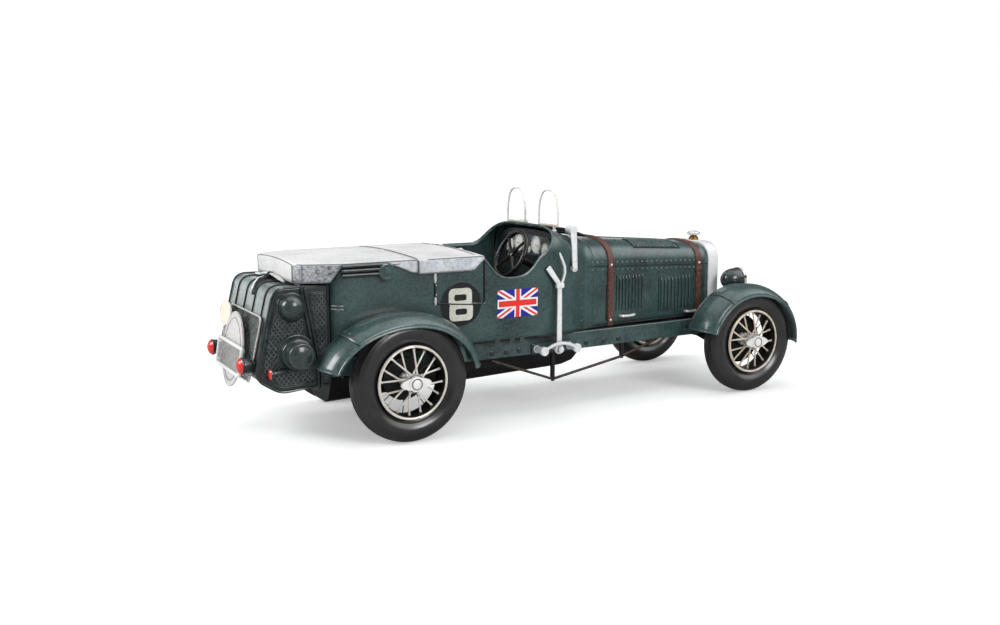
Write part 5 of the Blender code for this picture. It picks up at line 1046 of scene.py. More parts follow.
def make_wheel(corner, x, hand, wire):
    """A tyre, a wire wheel with its hub, the eared nut that holds it, and a front wheel's back plate."""
    body = corner[0] + "_wheel_" + corner[1]
    name = corner[0] + "_" + corner[1]
    centre = Vector((x, hand * HALF_TRACK, 0))
    out = Vector((0, hand, 0))
    tyre = Shape()
    half = [(21.3, 4.2), (22.2, 4.5), (22.8, 4.85), (23.2, 5.2), (23.7, 5.15), (24.8, 5.85), (25.9, 6.45),
            (27.0, 6.86), (28.2, 7.0), (29.4, 6.92), (30.6, 6.66), (31.6, 6.26), (32.4, 5.8), (32.8, 5.75),
            (33.2, 5.2), (33.9, 4.5), (34.4, 3.75), (34.6, 3.4), (34.3, 3.2), (34.3, 2.9), (34.75, 2.7),
            (34.92, 1.5), (34.6, 1.3), (34.6, 1.0), (35.0, 0.8)]
    profile = [(radius, -along) for radius, along in half] + half[::-1]
    tyre.turned([(20.6, -4.1)] + profile + [(20.6, 4.1)], centre, out, "rubber", 72)
    piece("tyre_moulded_" + name, tyre, body, ("tyre_" + name,), crease=30)
    wheel = Shape()
    rim = [(19.7, -6.0), (20.4, -6.4), (21.3, -6.2), (21.4, -5.6), (20.8, -5.2), (20.6, 5.2), (21.4, 5.6),
           (21.3, 6.2), (20.4, 6.4), (19.7, 6.0), (19.5, 4.6), (18.9, 2.5), (18.9, -2.5), (19.5, -4.6),
           (19.7, -6.0)]
    looks = [wire] * len(rim)
    for k in (4, 5, 8, 9, 10, 11, 12, 13):
        looks[k] = "black"
    wheel.turned(rim, centre, out, looks, 64)
    lip = [centre + out * 6.2 + round_axle(LIP_RADIUS, t) for t in turns(72)]
    wheel.tube(lip, 0.62, wire, 8, closed=True)
    sets = ((40, 6.6, 3.2, 0.0, wire), (-40, 5.4, 2.4, 12.5, wire), (24, -1.5, -2.0, 11.0, "black"))
    for k in range(SPOKE_SETS):
        for lean, hub_along, rim_along, phase, look in sets:
            start = math.radians(360 // SPOKE_SETS * k + phase)
            end = start + math.radians(lean)
            first = centre + out * hub_along + round_axle(SPOKE_HUB, start)
            last = centre + out * rim_along + round_axle(SPOKE_RIM, end)
            wheel.tube([first, last], 0.55 if hub_along > 0 else 0.3, look, 7)
            if hub_along > 0:
                nipple = last.lerp(first, 0.07)
                wheel.tube([last, nipple], 0.8, wire, 7)
    hub = [(0.0, -5.6), (4.0, -5.6), (4.4, -5.0), (4.4, -2.4), (3.2, -1.2), (3.1, 4.0), (5.2, 5.0),
           (5.6, 7.6), (5.3, 8.6), (4.5, 8.9), (4.5, 10.2), (4.2, 10.9), (3.4, 11.1), (2.9, 10.9),
           (2.6, 11.2), (1.9, 11.4), (0.0, 11.4)]
    bright = ["hub_silver"]
    # Painted shade: grey bands on the hub's steps and round its centre
    groove_shade = ["plate_grey"]
    hub_looks = bright * 8 + groove_shade + bright * 3 + groove_shade * 2 + bright * 2
    wheel.turned(hub, centre, out, hub_looks, 28)
    spinner = Shape()
    half_ear = [(-9.4, 0.0), (-9.1, 0.9), (-8.2, 1.7), (-6.6, 2.4), (-4.8, 3.0), (-2.6, 3.4), (0.0, 3.6)]
    ear = half_ear + [(-u, w) for u, w in reversed(half_ear[:-1])]
    ear = ear + [(-u, -w) for u, w in ear[1:-1]]
    spinner.prism(ear, "Y", 8.9, 10.3, "hub_silver")
    # Painted shade: a grey line round the edges of the ears
    spinner.tube([Vector((u, 9.4, w)) for u, w in ear], 0.28, "plate_grey", 5, closed=True)
    spinner.moved(Matrix.Translation(centre) @ flipped(hand))
    if corner[0] == "front":
        guard = Shape()
        guard.turned([(5.2, -7.6), (16.0, -7.6), (16.5, -7.4), (16.5, -7.0), (16.0, -6.8), (12.4, -6.75),
                      (5.2, -6.7), (5.2, -7.6)], centre, out, "black", 40)
        piece("brake_back_plate_" + corner[1], guard, "knuckle_" + corner[1])
    piece("wire_wheel_" + name, wheel, body, ("wheel_" + name,), crease=35)
    piece("wheel_spinner_" + name, spinner, body, edge=0.4)


def make_wheels():
    for end, x, wire in (("rear", 0.0, "steel_wire"), ("front", WHEELBASE, "gold_wire")):
        for side, hand in SIDES:
            make_wheel((end, side), x, hand, wire)


# Front end
def radiator_line(inset, low=13.8, count=8):
    """The radiator's outline, drawn in by an inset."""
    half = 22.3 - inset
    top = 64.1 - inset
    return rounded([(-half, low + inset, 0), (half, low + inset, 0), (half, top, 13.0 - inset),
                    (-half, top, 13.0 - inset)], count)


def make_radiator():
    """The bright surround, its core behind a mesh guard, and the filler cap."""
    shell = Shape()
    profile = ((246.0, 0.6), (246.3, 0.1), (246.8, 0.0), (254.0, 0.0), (254.7, 0.2), (255.0, 0.7),
               (255.0, 1.7), (254.7, 2.1), (254.2, 2.25), (247.6, 2.3))
    rows = [[(x, y, z) for y, z in radiator_line(inset)] for x, inset in profile]
    shell.grid(rows, "shell_white", around=True)
    shell.prism(radiator_line(0.6), "X", 246.0, 247.5, "shell_white")
    disc = (255.05, 0, 58.6)
    shell.turned([(2.6, -0.6), (2.6, 0.0), (2.2, 0.3), (0, 0.4)], disc, (1, 0, 0), "shell_white", 24)
    piece("radiator_surround", shell, "chassis", ("radiator_shell",), crease=45)
    core = Shape()
    face = radiator_line(2.4)
    core.prism(face, "X", 248.0, 252.6, "black")
    for first, second in crossed(face, 1.9, 45):
        core.tube([(253.0, first.x, first.y), (253.0, second.x, second.y)], 0.24, "steel_wire", 5)
    piece("radiator_stone_guard", core, "chassis", ("radiator_core",))
    cap = Shape()
    cap.turned([(0, 0), (3.4, 0), (3.5, 0.5), (3.4, 1.6), (2.6, 2.2), (2.3, 2.6), (2.3, 3.0), (4.1, 3.3),
                (4.5, 3.7), (4.5, 5.0), (4.1, 5.5), (2.2, 6.2), (0, 6.4)], (RADIATOR_CAP_X, 0, 64.2),
               (0, 0, 1), ["brass"] * 7 + ["silver"] * 5, 28)
    for turn in turns(14):
        spot = Vector((RADIATOR_CAP_X + 4.5 * math.cos(turn), 4.5 * math.sin(turn), 68.55))
        cap.dome(spot, (math.cos(turn), math.sin(turn), 0), 0.5, 0.35, "silver", 6)
    piece("filler_cap_brass", cap, "chassis", ("radiator_cap",))


def make_headlamps():
    """Two bucket lamps with clear glasses on a bar and its two feet."""
    bar = Shape()
    bar.tube([(LAMP_X, y, 23.0) for y in steps(-35.6, 35.6, 12)], 1.4, "deep_green", 12)
    for side, hand in SIDES:
        seat = Vector((LAMP_X, hand * 33.5, 38.5))
        bucket = Shape()
        bowl = [(0, -8.4), (1.5, -8.3), (3.2, -7.75), (4.9, -6.5), (6.2, -4.9), (7.1, -2.9), (7.65, -0.4),
                (7.9, 2.2), (7.9, 3.6), (8.1, 3.8), (8.25, 4.3), (8.25, 6.0), (8.0, 6.5), (7.4, 6.6),
                (7.2, 6.3), (7.2, 5.2), (6.7, 4.8), (5.9, 0.6), (4.0, -3.9), (0, -6.0)]
        looks = ["lamp_green"] * 10 + ["silver"] * 6 + ["reflector"] * 4
        bucket.turned(bowl, seat, (1, 0, 0), looks, 36)
        bucket.dome(seat + Vector((4.9, hand * 7.9, 2.6)), (0, hand, 0.3), 1.1, 1.2, "lamp_green", 10)
        bucket.turned([(0, 0), (1.2, 0), (1.5, 1.2), (1.1, 2.4), (0, 2.8)], seat + Vector((-4.2, 0, 0)),
                      (1, 0, 0), "cream", 14)
        piece("headlamp_shell_" + side, bucket, "chassis", ("headlamp_" + side,))
        lens = Shape()
        lens.turned([(0, 5.3), (4.0, 5.3), (7.0, 5.3), (7.05, 6.0), (5.6, 6.9), (3.2, 7.5), (0, 7.8)], seat,
                    (1, 0, 0), "glass", 36)
        piece("headlamp_glass_" + side, lens, "chassis", ("headlamp_lens_" + side,))
        bar.tube([seat + Vector((0, 0, -8.3)), seat + Vector((0, 0, -15.6))], 1.2, "deep_green", 10)
        foot = hand * 30.3
        bar.tube([(LAMP_X, foot, 13.4), (LAMP_X, foot, 23.0)], 1.25, "deep_green", 10)
        bar.turned([(0, 0), (1.9, 0), (1.9, 1.2), (1.3, 1.8), (0, 1.8)], seat + Vector((0, 0, -10.1)),
                   (0, 0, 1), "deep_green", 14)
    piece("headlamp_stand", bar, "chassis", ("headlamp_bar",))


# Chassis
def make_chassis():
    """The frame's own rails, axles and rods with a finish, then sleeves, bolts and tabs."""
    for side in ("right", "left"):
        softened("chassis_rail_" + side, "chassis", "green", 0.5)
        softened("truss_rod_" + side, "chassis", "rod_brown", 0.2)
        softened("steering_knuckle_" + side, "knuckle_" + side, "black", 0.25)
    for node in ("front_cross_member", "mid_cross_member", "rear_cross_member"):
        softened(node, "chassis", "green", 0.5)
    for node in ("floor_board", "front_axle", "rear_axle", "steering_column"):
        softened(node, "chassis", "black", 0.3)
    softened("belly_pan", "chassis", "black", 2.4)
    softened("track_rod", "track_rod", "black", 0.2)
    sleeves = Shape()
    for hand in HANDS:
        for x, low in ((109.0, -15.0), (164.0, -6.2)):
            reach = rail_face(x, 36.3)
            sleeves.tube([(x, hand * reach, 2.4), (x, hand * reach, low)], 1.5, "black", 12)
    piece("truss_strut_sleeves", sleeves, "chassis")
    rivets = Shape()
    for hand in HANDS:
        for x in (64.0, 73.8, 83.0, 124.0, 134.0, 148.0, 160.0):
            reach = rail_face(x, 38.0)
            rivets.turned([(1.7, -0.3), (1.7, 0.4), (1.4, 0.6), (1.1, 0.6), (1.0, 1.0), (0, 1.1)],
                          (x, hand * reach, 6.0), (0, hand, 0), "deep_green", 12)
        for x in (65.0, 75.4, 82.5):
            tab = Shape()
            tab.prism(rounded_box((-1.8, -1.5), (1.8, 1.2), 0.6, 3), "Y", 0, 0.9, "deep_green")
            base = Matrix.Translation((x, hand * side_reach(x, BODY_BOTTOM), BODY_BOTTOM + 0.3))
            tab.moved(base @ flipped(hand))
            rivets.add(tab.points, tab.faces, "deep_green")
    piece("rail_bolts_and_tabs", rivets, "chassis")


# Tail
TANK_LINE = [(-40.0, -1.0, 0), (-40.0, TANK_TOP, 0), (TANK_REAR_TOP, TANK_TOP, 8.0),
             (TANK_REAR_TOP - TANK_LEAN, TANK_TOP - TANK_LEAN_DROP, 8.5), (-68.5, -3.0, 14.0)]
MESH_TOP = 38.5


def tank_rear(z, lift=0.0):
    """Where the leaning rear face lies at a height."""
    return TANK_REAR_TOP - TANK_LEAN * (TANK_TOP - z) / TANK_LEAN_DROP - lift


def make_tank():
    """The tank with a top painted pale as a reflection, ribs over it, and mesh panels on both sides."""
    tank = Shape()
    line = rounded(TANK_LINE, 10)
    for hand in HANDS:
        tank.add([(x, hand * TANK_HALF, z) for x, z in line], [range(len(line))], "deep_green")
    wide = steps(-TANK_HALF, TANK_HALF, 12)
    for k, (first, second) in enumerate(zip(line, line[1:] + line[:1])):
        level = (first[1] + second[1]) / 2
        # Painted reflection: faces of the upper rear take the pale tone that stands for the mirrored
        # surroundings
        pale = level > MESH_TOP and (first[0] < -40.5 or second[0] < -40.5)
        parts = [first, second]
        if first[1] > MESH_TOP > second[1] and k > 1:
            t = (first[1] - MESH_TOP) / (first[1] - second[1])
            parts = [first, (first[0] + (second[0] - first[0]) * t, MESH_TOP), second]
            pale = True
        for start, end in zip(parts, parts[1:]):
            look = "tank_top" if pale and end[1] >= MESH_TOP - 0.01 else "deep_green"
            tank.grid([[(x, y, z) for y in wide] for x, z in (start, end)], look)
    piece("fuel_tank_body", tank, "chassis", ("fuel_tank",), edge=1.1, crease=50)
    trim = Shape()
    upper = [pair for pair in line if pair[1] > 50.0 and pair[0] < -40.5]
    over = [(-41.5, TANK_TOP)] + upper + [(tank_rear(MESH_TOP - 1.0), MESH_TOP - 1.0)]
    for y in (-26.5, -9.5, 7.5, 24.5):
        rib = [Vector((x, y, z)) for x, z in over]
        trim.tube(evenly(rib, 26), 0.95, "seam", 8, flat=0.8)
    for hand in HANDS:
        edge = [Vector((x, hand * (TANK_HALF - 0.3), z)) for x, z in line]
        trim.tube(edge, 0.8, "deep_green", 8, closed=True)
        frames = (
            [(-49.4, 1.6, 2.5), (-57.0, 50.4, 2.5), (-69.4, 50.4, 5.0), (-79.0, 8.2, 7.0),
             (-67.8, 0.6, 8.0)],
            [(-41.2, 2.4, 1.2), (-41.2, 50.4, 2.8), (-50.6, 50.4, 2.2), (-44.0, 2.4, 1.2)],
        )
        for corners in frames:
            panel = rounded(corners, 5)
            for grow in (0.0, 1.0):
                middle = Vector((sum(p[0] for p in panel) / len(panel),
                                 sum(p[1] for p in panel) / len(panel)))
                loop = []
                for pair in panel:
                    out = (Vector(pair) - middle).normalized() * grow
                    loop.append(Vector((pair[0] + out.x, hand * (TANK_HALF + 0.15), pair[1] + out.y)))
                trim.tube(loop, 0.5, "deep_green", 6, closed=True)
            level = hand * (TANK_HALF + 0.2)
            # Painted highlight: the mesh wires take a lighter green for the light they catch
            for first, second in crossed(panel, 2.1, 52):
                trim.tube([(first.x, level, first.y), (second.x, level, second.y)], 0.34, "mesh_green", 5)
    piece("tank_ribs_and_mesh", trim, "chassis")


def make_tank_fittings():
    """The band round the tank, its two filler caps and the mesh over its rear."""
    strap = Shape()
    for x in (-46.9, -44.9):
        loop = rounded([(-38.7, -3.3, 2.2), (38.7, -3.3, 2.2), (38.7, 55.7, 3.0), (-38.7, 55.7, 3.0)], 5)
        loop = evenly(loop + loop[:1], 96)[:-1]
        strap.tube([Vector((x - 8.4 * share_of(z, 6.0, 52.0), y, z)) for y, z in loop], 0.85, "deep_green",
                   8, closed=True)
    piece("tank_band_tubes", strap, "chassis", ("tank_strap",))
    upper = Shape()
    upper.turned([(0, 0), (8.1, 0), (8.4, 0.4), (8.2, 0.9), (7.7, 1.1), (7.4, 0.9), (7.1, 1.1), (6.9, 2.2),
                  (6.6, 3.6), (6.0, 4.9), (5.1, 6.0), (3.8, 6.9), (2.0, 7.5), (0, 7.7)],
                 (-61.3, -38.2, 44.1), (0, -1, 0), "lamp_green", 40)
    piece("upper_filler_dome", upper, "chassis", ("upper_filler_cap",), crease=50)
    lower = Shape()
    lower.turned([(0, 0), (10.6, 0), (10.9, 0.4), (10.7, 1.0), (10.1, 1.3), (9.7, 1.2), (9.4, 1.8),
                  (9.0, 2.6), (8.7, 3.6), (8.2, 4.0), (7.5, 4.3), (7.4, 10.0), (7.1, 10.8), (6.4, 11.1),
                  (6.0, 10.95), (5.2, 10.95), (5.0, 11.15), (0, 11.2)],
                 (-59.3, -38.2, 18.4), (0, -1, 0), "lamp_green", 44)
    piece("lower_filler_drum", lower, "chassis", ("lower_filler_cap",), crease=50)
    guard = Shape()
    panel = rounded([(-31, 3.5, 2.0), (31, 3.5, 2.0), (30, MESH_TOP, 4.0), (-30, MESH_TOP, 4.0)], 5)
    for wire in crossed(panel, 1.6, 45):
        guard.tube([(tank_rear(end.y, 0.5), end.x, end.y) for end in wire], 0.24, "mesh_silver", 5)
    guard.tube([Vector((tank_rear(z, 0.9), y, z)) for y, z in panel], 0.55, "silver", 8, closed=True)
    piece("tank_stone_guard", guard, "chassis")


def make_tie():
    """The tie under the rear cover: a band to each side of a knot, and two tails down the tank."""
    clasp = Shape()
    left = [(-60.2, 27.0, 55.9), (-60.6, 18.0, 56.4), (-60.2, 9.0, 58.0), (-59.9, 4.0, 58.4)]
    right = [(-59.8, 1.0, 58.4), (-59.9, -7.0, 58.2), (-59.8, -15.0, 57.2), (-59.6, -22.0, 56.2)]
    clasp.tube(evenly(left, 16), 1.5, "white", 8, flat=0.55)
    clasp.tube(evenly(right, 16), [1.0] * 4 + [1.4] * 9 + [1.0] * 4, "silver", 8, flat=0.6)
    clasp.dome((-59.9, 2.6, 57.6), (-0.7, 0, 0.7), 2.1, 2.0, "seam", 12)
    clasp.dome((-60.0, 27.0, 55.6), (-0.4, 0, 1), 1.6, 1.0, "silver", 10)
    for across, look, size in ((5.6, "white", 1.5), (2.0, "seam", 1.7)):
        tail = [(-60.6, 2.6, 58.0), (-63.0, 0.4 + across * 0.5, 56.6), (-66.6, across - 3.4, 56.0),
                (-69.6, across - 6.4, 53.9), (-71.8, across - 8.6, 50.6),
                (-72.7, across - 9.8, 47.6 + 0.5 * across)]
        clasp.tube(evenly(tail, 20), size, look, 8, flat=0.5)
    piece("cover_clasp", clasp, "chassis")


def make_tail_lamps():
    """Two round lamps beside the number board and a small reflector low on the right."""
    for side, hand in SIDES:
        lamp = Shape()
        lamp.turned([(0, 0), (3.9, 0), (4.2, 0.5), (4.4, 4.6), (4.7, 4.9), (4.8, 5.3), (4.8, 5.7),
                     (4.5, 5.9), (4.2, 6.3), (3.5, 7.3), (2.2, 7.9), (0, 8.15)], (-82.3, hand * 31, 13.0),
                    (-1, 0, 0), ["deep_green"] * 7 + ["red_lens"] * 4, 32)
        lamp.tube([(-82.6, hand * 31, 13.0), (-79.4, hand * 31, 13.0)], 1.6, "deep_green", 12)
        piece("tail_lamp_lens_" + side, lamp, "chassis", ("tail_lamp_" + side,))
    marker = Shape()
    marker.tube([(-64.0, -38.4, 10.5), (-66.0, -40.2, 9.6), (-73.8, -40.4, 8.7)], 1.2, "deep_green", 10)
    marker.turned([(0, 0), (2.6, 0), (3.0, 0.4), (3.0, 1.2), (2.5, 1.8), (1.4, 2.2), (0, 2.3)],
                  (-73.6, -40.4, 8.6), (-1, 0, 0), ["deep_green"] * 3 + ["red_lens"] * 3, 24)
    piece("side_reflector", marker, "chassis")


def oval(wide, high, count, power=2.0):
    """An oval outline: a power under 2 is more pointed."""
    outline = []
    for turn in turns(count):
        outline.append((wide * math.copysign(abs(math.cos(turn)) ** (2 / power), math.cos(turn)),
                        high * math.copysign(abs(math.sin(turn)) ** (2 / power), math.sin(turn))))
    return outline


def make_number_board():
    """The oval board, the blank plate on it and the small round disc."""
    board = Shape()
    face = oval(20.0, 21.5, 56, 1.8)
    board.prism(face, "X", -0.5, 0.5, "board")
    board.tube([(-0.35, y, z) for y, z in oval(19.7, 21.2, 56, 1.8)], 0.5, "board", 8, closed=True)
    board.tube([(-0.5, y, z) for y, z in oval(16.6, 18.0, 56, 1.8)], 0.28, "plate_grey", 6, closed=True)
    holder = rounded_box((-23.2, -11.6), (23.2, 3.6), 1.4, 4)
    board.prism(holder, "X", -1.5, 0.2, "plate_grey")
    board.tube([(-1.7, y, z) for y, z in holder], 1.05, "white", 8, closed=True)
    for y in (-20.6, 20.6):
        for z in (-9.3, 1.3):
            board.dome((-1.5, y, z), (-1, 0, 0), 0.9, 0.6, "silver", 10)
    disc = [(y + 21.5, z + 17.8) for y, z in oval(10.8, 6.9, 40)]
    board.prism(disc, "X", -0.6, 0.4, "cream")
    board.tube([(-0.5, y, z) for y, z in disc], 0.45, "cream", 8, closed=True)
    board.tube([(-0.1, 21.5, -4.0), (-0.1, 21.5, 14.0)], 0.6, "silver", 8)
    board.tube([(0.0, 0.0, 0.0), (1.9, 0.0, 0.3)], 5.0, "board", 20, flat=0.35)
    lean = Matrix.Translation((-83.8, 0, 16.8)) @ Matrix.Rotation(math.radians(8.6), 4, "Y")
    piece("number_board_and_plate", board.moved(lean), "chassis", ("number_board",),
          crease=40)


# Covers
def cover_sheet(name, keys, node, closed_rear):
    """A stiff cover: crowned top, folded edges and hanging sides, from (x, half-width, hem) keys."""
    sheet = Shape()
    stations = []
    for (x0, half0, hem0), (x1, half1, hem1) in zip(keys, keys[1:]):
        count = max(1, int((x1 - x0) / 2.0))
        for t in steps(0, 1, count)[:-1]:
            stations.append((x0 + (x1 - x0) * t, half0 + (half1 - half0) * t, hem0 + (hem1 - hem0) * t))
    stations.append(keys[-1])
    if closed_rear:
        x, half, hem = stations[0]
        stations[:1] = [(x, half, hem), (x + 0.25, half + 0.25, hem), (x + 0.9, half + 1.0, hem)]
    tops = []
    sides = {-1: [], 1: []}
    for k, (x, half, hem) in enumerate(stations):
        dip = (0.55, 0.18, 0.0)[k] if closed_rear and k < 3 else 0.0
        top = COVER_TOP - dip
        line = [(half, top - 0.7), (half - 0.25, top - 0.25), (half - 0.9, top)]
        line += [(half * share, top + COVER_CROWN * (1 - share * share) - 0.05)
                 for share in (0.9, 0.75, 0.6, 0.45, 0.3, 0.15)]
        row = [(x, -y, z) for y, z in line] + [(x, 0, top + 1.45)]
        tops.append(row + [(x, y, z) for y, z in reversed(line)])
        for hand in HANDS:
            sides[hand].append([(x, hand * (half + 0.12 * math.sin(t * math.pi)),
                                 top - 0.7 + (hem - top + 0.7) * t)
                                for t in steps(0, 1, 5)])
    sheet.grid(tops, "cover_top")
    for hand in HANDS:
        crumpled = [row for row in sides[hand] if row[0][0] < -34.0]
        if crumpled:
            sheet.grid(crumpled, "cover_crumple")
        sheet.grid(sides[hand][max(0, len(crumpled) - 1):], "cover_skirt")
    if closed_rear:
        hem = stations[0][2]
        fall = [[(px, py, pz + (hem - pz) * t) for px, py, pz in tops[0]] for t in steps(0, 1, 5)]
        sheet.grid(fall, "cover_top")
    piece(name, sheet, "chassis", (node,), wall=0.9,
          inside=((keys[0][0] + keys[-1][0]) / 2, 0, 50))
    return stations


def make_covers():
    """The two covers, their pencilled seams and staples, and the folded hood irons."""
    rear_keys = [
        (-58.0, 31.5, 56.7), (-54.0, 36.5, 56.7), (-40.2, 42.3, 56.7), (-36.8, 43.9, 61.8),
        (-34.4, 44.8, 65.2), (-6.0, 44.8, 65.2), (0.0, 44.9, 63.4), (8.0, 45.3, 59.8), (11.7, 45.5, 59.4)]
    front_keys = [(12.0, 45.9, 58.7), (46.0, 45.9, 58.7), (48.5, 45.9, 59.4), (54.5, 45.9, 65.0)]
    rear = cover_sheet("rear_seat_cover", rear_keys, "tonneau_rear", True)
    front = cover_sheet("middle_seat_cover", front_keys, "tonneau_front", False)
    seams = Shape()

    def pencil(path, size):
        seams.tube(path, size, "pencil", 6)

    def top(y):
        return COVER_TOP + COVER_CROWN * (1 - (y / 45.5) ** 2) + 0.05

    for stations in (rear, front):
        for hand in HANDS:
            pencil([(x, hand * (half - 0.1), COVER_TOP - 0.25) for x, half, _ in stations[3:]], 0.28)
            pencil([(x, hand * (half + 0.05), hem + 0.1) for x, half, hem in stations], 0.32)
    x, half, _ = rear[0]
    pencil([(x, y, COVER_TOP - 0.5 + COVER_CROWN * (1 - (y / half) ** 2)) for y in steps(-half, half, 16)],
           0.25)
    for hand in HANDS:
        for x, half, hem in (rear[0], rear[4], front[0]):
            pencil([(x, hand * (half + 0.1), z) for z in steps(hem, COVER_TOP - 0.6, 4)], 0.3)
    pencil([(11.9, y, top(y)) for y in steps(-44, 44, 24)], 0.35)
    pencil([(50.5 + 0.05 * (y + 41), y, top(y)) for y in steps(-41, 41, 20)], 0.3)
    for x, y in ((6.0, -6.0), (51.5, 6.0), (52.0, 20.0), (52.0, -20.0)):
        staple = ((-1.6, 0.0), (-0.8, 0.7), (0.8, 0.7), (1.6, 0.0))
        seams.tube([(x + along, y, top(y) + lift) for along, lift in staple], 0.45, "silver", 6)
    piece("cover_seams", seams, "chassis")
    for side, hand in SIDES:
        irons = Shape()
        for level in (60.5, 63.1, 65.7):
            irons.tube([(x, hand * 46.2, level) for x in steps(-34.4, -8.2, 6)], 1.15, "deep_green", 10)
        irons.turned([(0, 0), (4.9, 0), (4.9, 2.2), (4.6, 2.7), (3.9, 2.9), (3.6, 2.6), (2.0, 2.6),
                      (1.7, 2.9), (0, 3.0)],
                     (-8.2, hand * 44.8, 61.6), (0, hand, 0), "green", 36)
        piece("hood_iron_set_" + side, irons, "chassis", ("hood_irons_" + side,))


# Cockpit
def pillow(shape, low, high, pleats, look, axis):
    """A stuffed pad in a box: corners pulled in, a crowned face and sewn channels across it."""
    low = Vector(low)
    high = Vector(high)
    middle = (low + high) / 2
    half = (high - low) / 2
    rows = []
    for t in steps(-1, 1, 48):
        squeeze = (1 - abs(t) ** 8) ** (1 / 8)
        channel = abs(math.cos(math.pi * t * pleats / 2)) ** 0.5
        row = []
        for turn in turns(40):
            u = math.copysign(abs(math.cos(turn)) ** 0.45, math.cos(turn))
            v = math.copysign(abs(math.sin(turn)) ** 0.45, math.sin(turn))
            face = max(0.0, v if axis == "Z" else u)
            fall = (1 - channel) * 1.1 * face
            point = Vector((half.x * u * squeeze, half.y * t, half.z * v * squeeze))
            if axis == "Z":
                point.z += (1 - abs(u) ** 2) * 0.7 * face - fall
            else:
                point.x += (1 - abs(v) ** 2) * 0.5 * face - fall * 0.7
            row.append(middle + point)
        rows.append(row)
    shape.grid(rows, look, around=True, ends=True)


def make_seat():
    """A pleated cushion and back."""
    cushion = Shape()
    pillow(cushion, (61.6, -33.0, 15.7), (84.4, 33.0, 32.4), 12, "hide", "Z")
    piece("seat_cushion", cushion, "chassis", ("front_seat",), crease=60)
    back = Shape()
    pillow(back, (56.7, -33.0, 15.8), (62.0, 33.0, 60.6), 12, "hide", "X")
    piece("seat_back_pad", back, "chassis", crease=60)


def make_dashboard():
    """The panel behind the steering wheel with six dials and four knobs."""
    softened("dashboard", "chassis", "dash_green", 0.4)
    dials = Shape()
    panel = rounded([(-30, 60.6, 3), (30, 60.6, 3), (26, 73.6, 4), (-26, 73.6, 4)], 5)
    dials.prism(panel, "X", DASH_X, DASH_X + 0.7, "dash_grey")
    for y, z, radius in ((-11.3, 67.7, 5.7), (10.2, 67.7, 5.7), (-22.0, 65.4, 4.2), (2.5, 64.2, 2.2),
                         (21.0, 65.4, 4.2), (-2.9, 64.2, 2.2)):
        centre = Vector((DASH_X, y, z))
        dials.turned([(radius, 0), (radius, 0.9), (radius * 0.96, 1.15), (radius * 0.86, 1.15),
                      (radius * 0.84, 0.7), (0, 0.7)],
                     centre, (-1, 0, 0), ["silver"] * 4 + ["dial"], 32)
        for turn in turns(12):
            spoke = Vector((0, math.cos(turn), math.sin(turn)))
            base = centre + Vector((-0.72, 0, 0))
            dials.tube([base + spoke * radius * 0.68, base + spoke * radius * 0.8], 0.12, "seam", 5)
        pointer = Vector((0, math.cos(2.2 + y), math.sin(2.2 + y)))
        base = centre + Vector((-0.8, 0, 0))
        dials.tube([base - pointer * radius * 0.15, base + pointer * radius * 0.6], 0.16, "seam", 5)
        dials.dome(base, (-1, 0, 0), 0.4, 0.3, "silver", 8)
    for y in (-29.0, -16.4, 15.6, 27.0):
        dials.turned([(0.9, 0), (0.9, 0.8), (0.6, 1.6), (0, 1.8)], (DASH_X, y * 0.9, 62.4), (-1, 0, 0),
                     "silver", 12)
    piece("dash_panel_and_dials", dials, "chassis")


def make_steering_wheel():
    """A round rim on four spokes."""
    wheel = Shape()
    ring = [Vector((0, 15.2 * math.cos(t), 15.2 * math.sin(t))) for t in turns(64)]
    wheel.tube(ring, 1.5, "grip", 10, closed=True)
    for k in range(4):
        turn = math.radians(45 + 90 * k)
        run = Vector((0, math.cos(turn), math.sin(turn)))
        wheel.tube([run * 1.6 + Vector((0.3, 0, 0)), run * 8, run * 14.9], [1.4, 1.0, 0.85], "grip", 8)
    wheel.turned([(0, -1.5), (1.2, -1.4), (2.2, -0.9), (2.5, -0.2), (2.5, 0.9), (2.2, 1.4), (1.0, 1.5),
                  (0.8, 3.6), (0, 3.6)],
                 (0, 0, 0), (1, 0, 0), "grip", 28)
    for k in range(16):
        turn = math.tau * (k + 0.5) / 16
        wheel.dome(Vector((0.55, 15.0 * math.cos(turn), 15.0 * math.sin(turn))), (1, 0, 0), 0.5, 0.55,
                   "grip", 6)
    rake = Matrix.Translation((87.0, -21.0, 63.9)) @ Matrix.Rotation(math.radians(27), 4, "Y")
    piece("steering_wheel_rim", wheel.moved(rake), "steering_wheel", ("steering_wheel",))


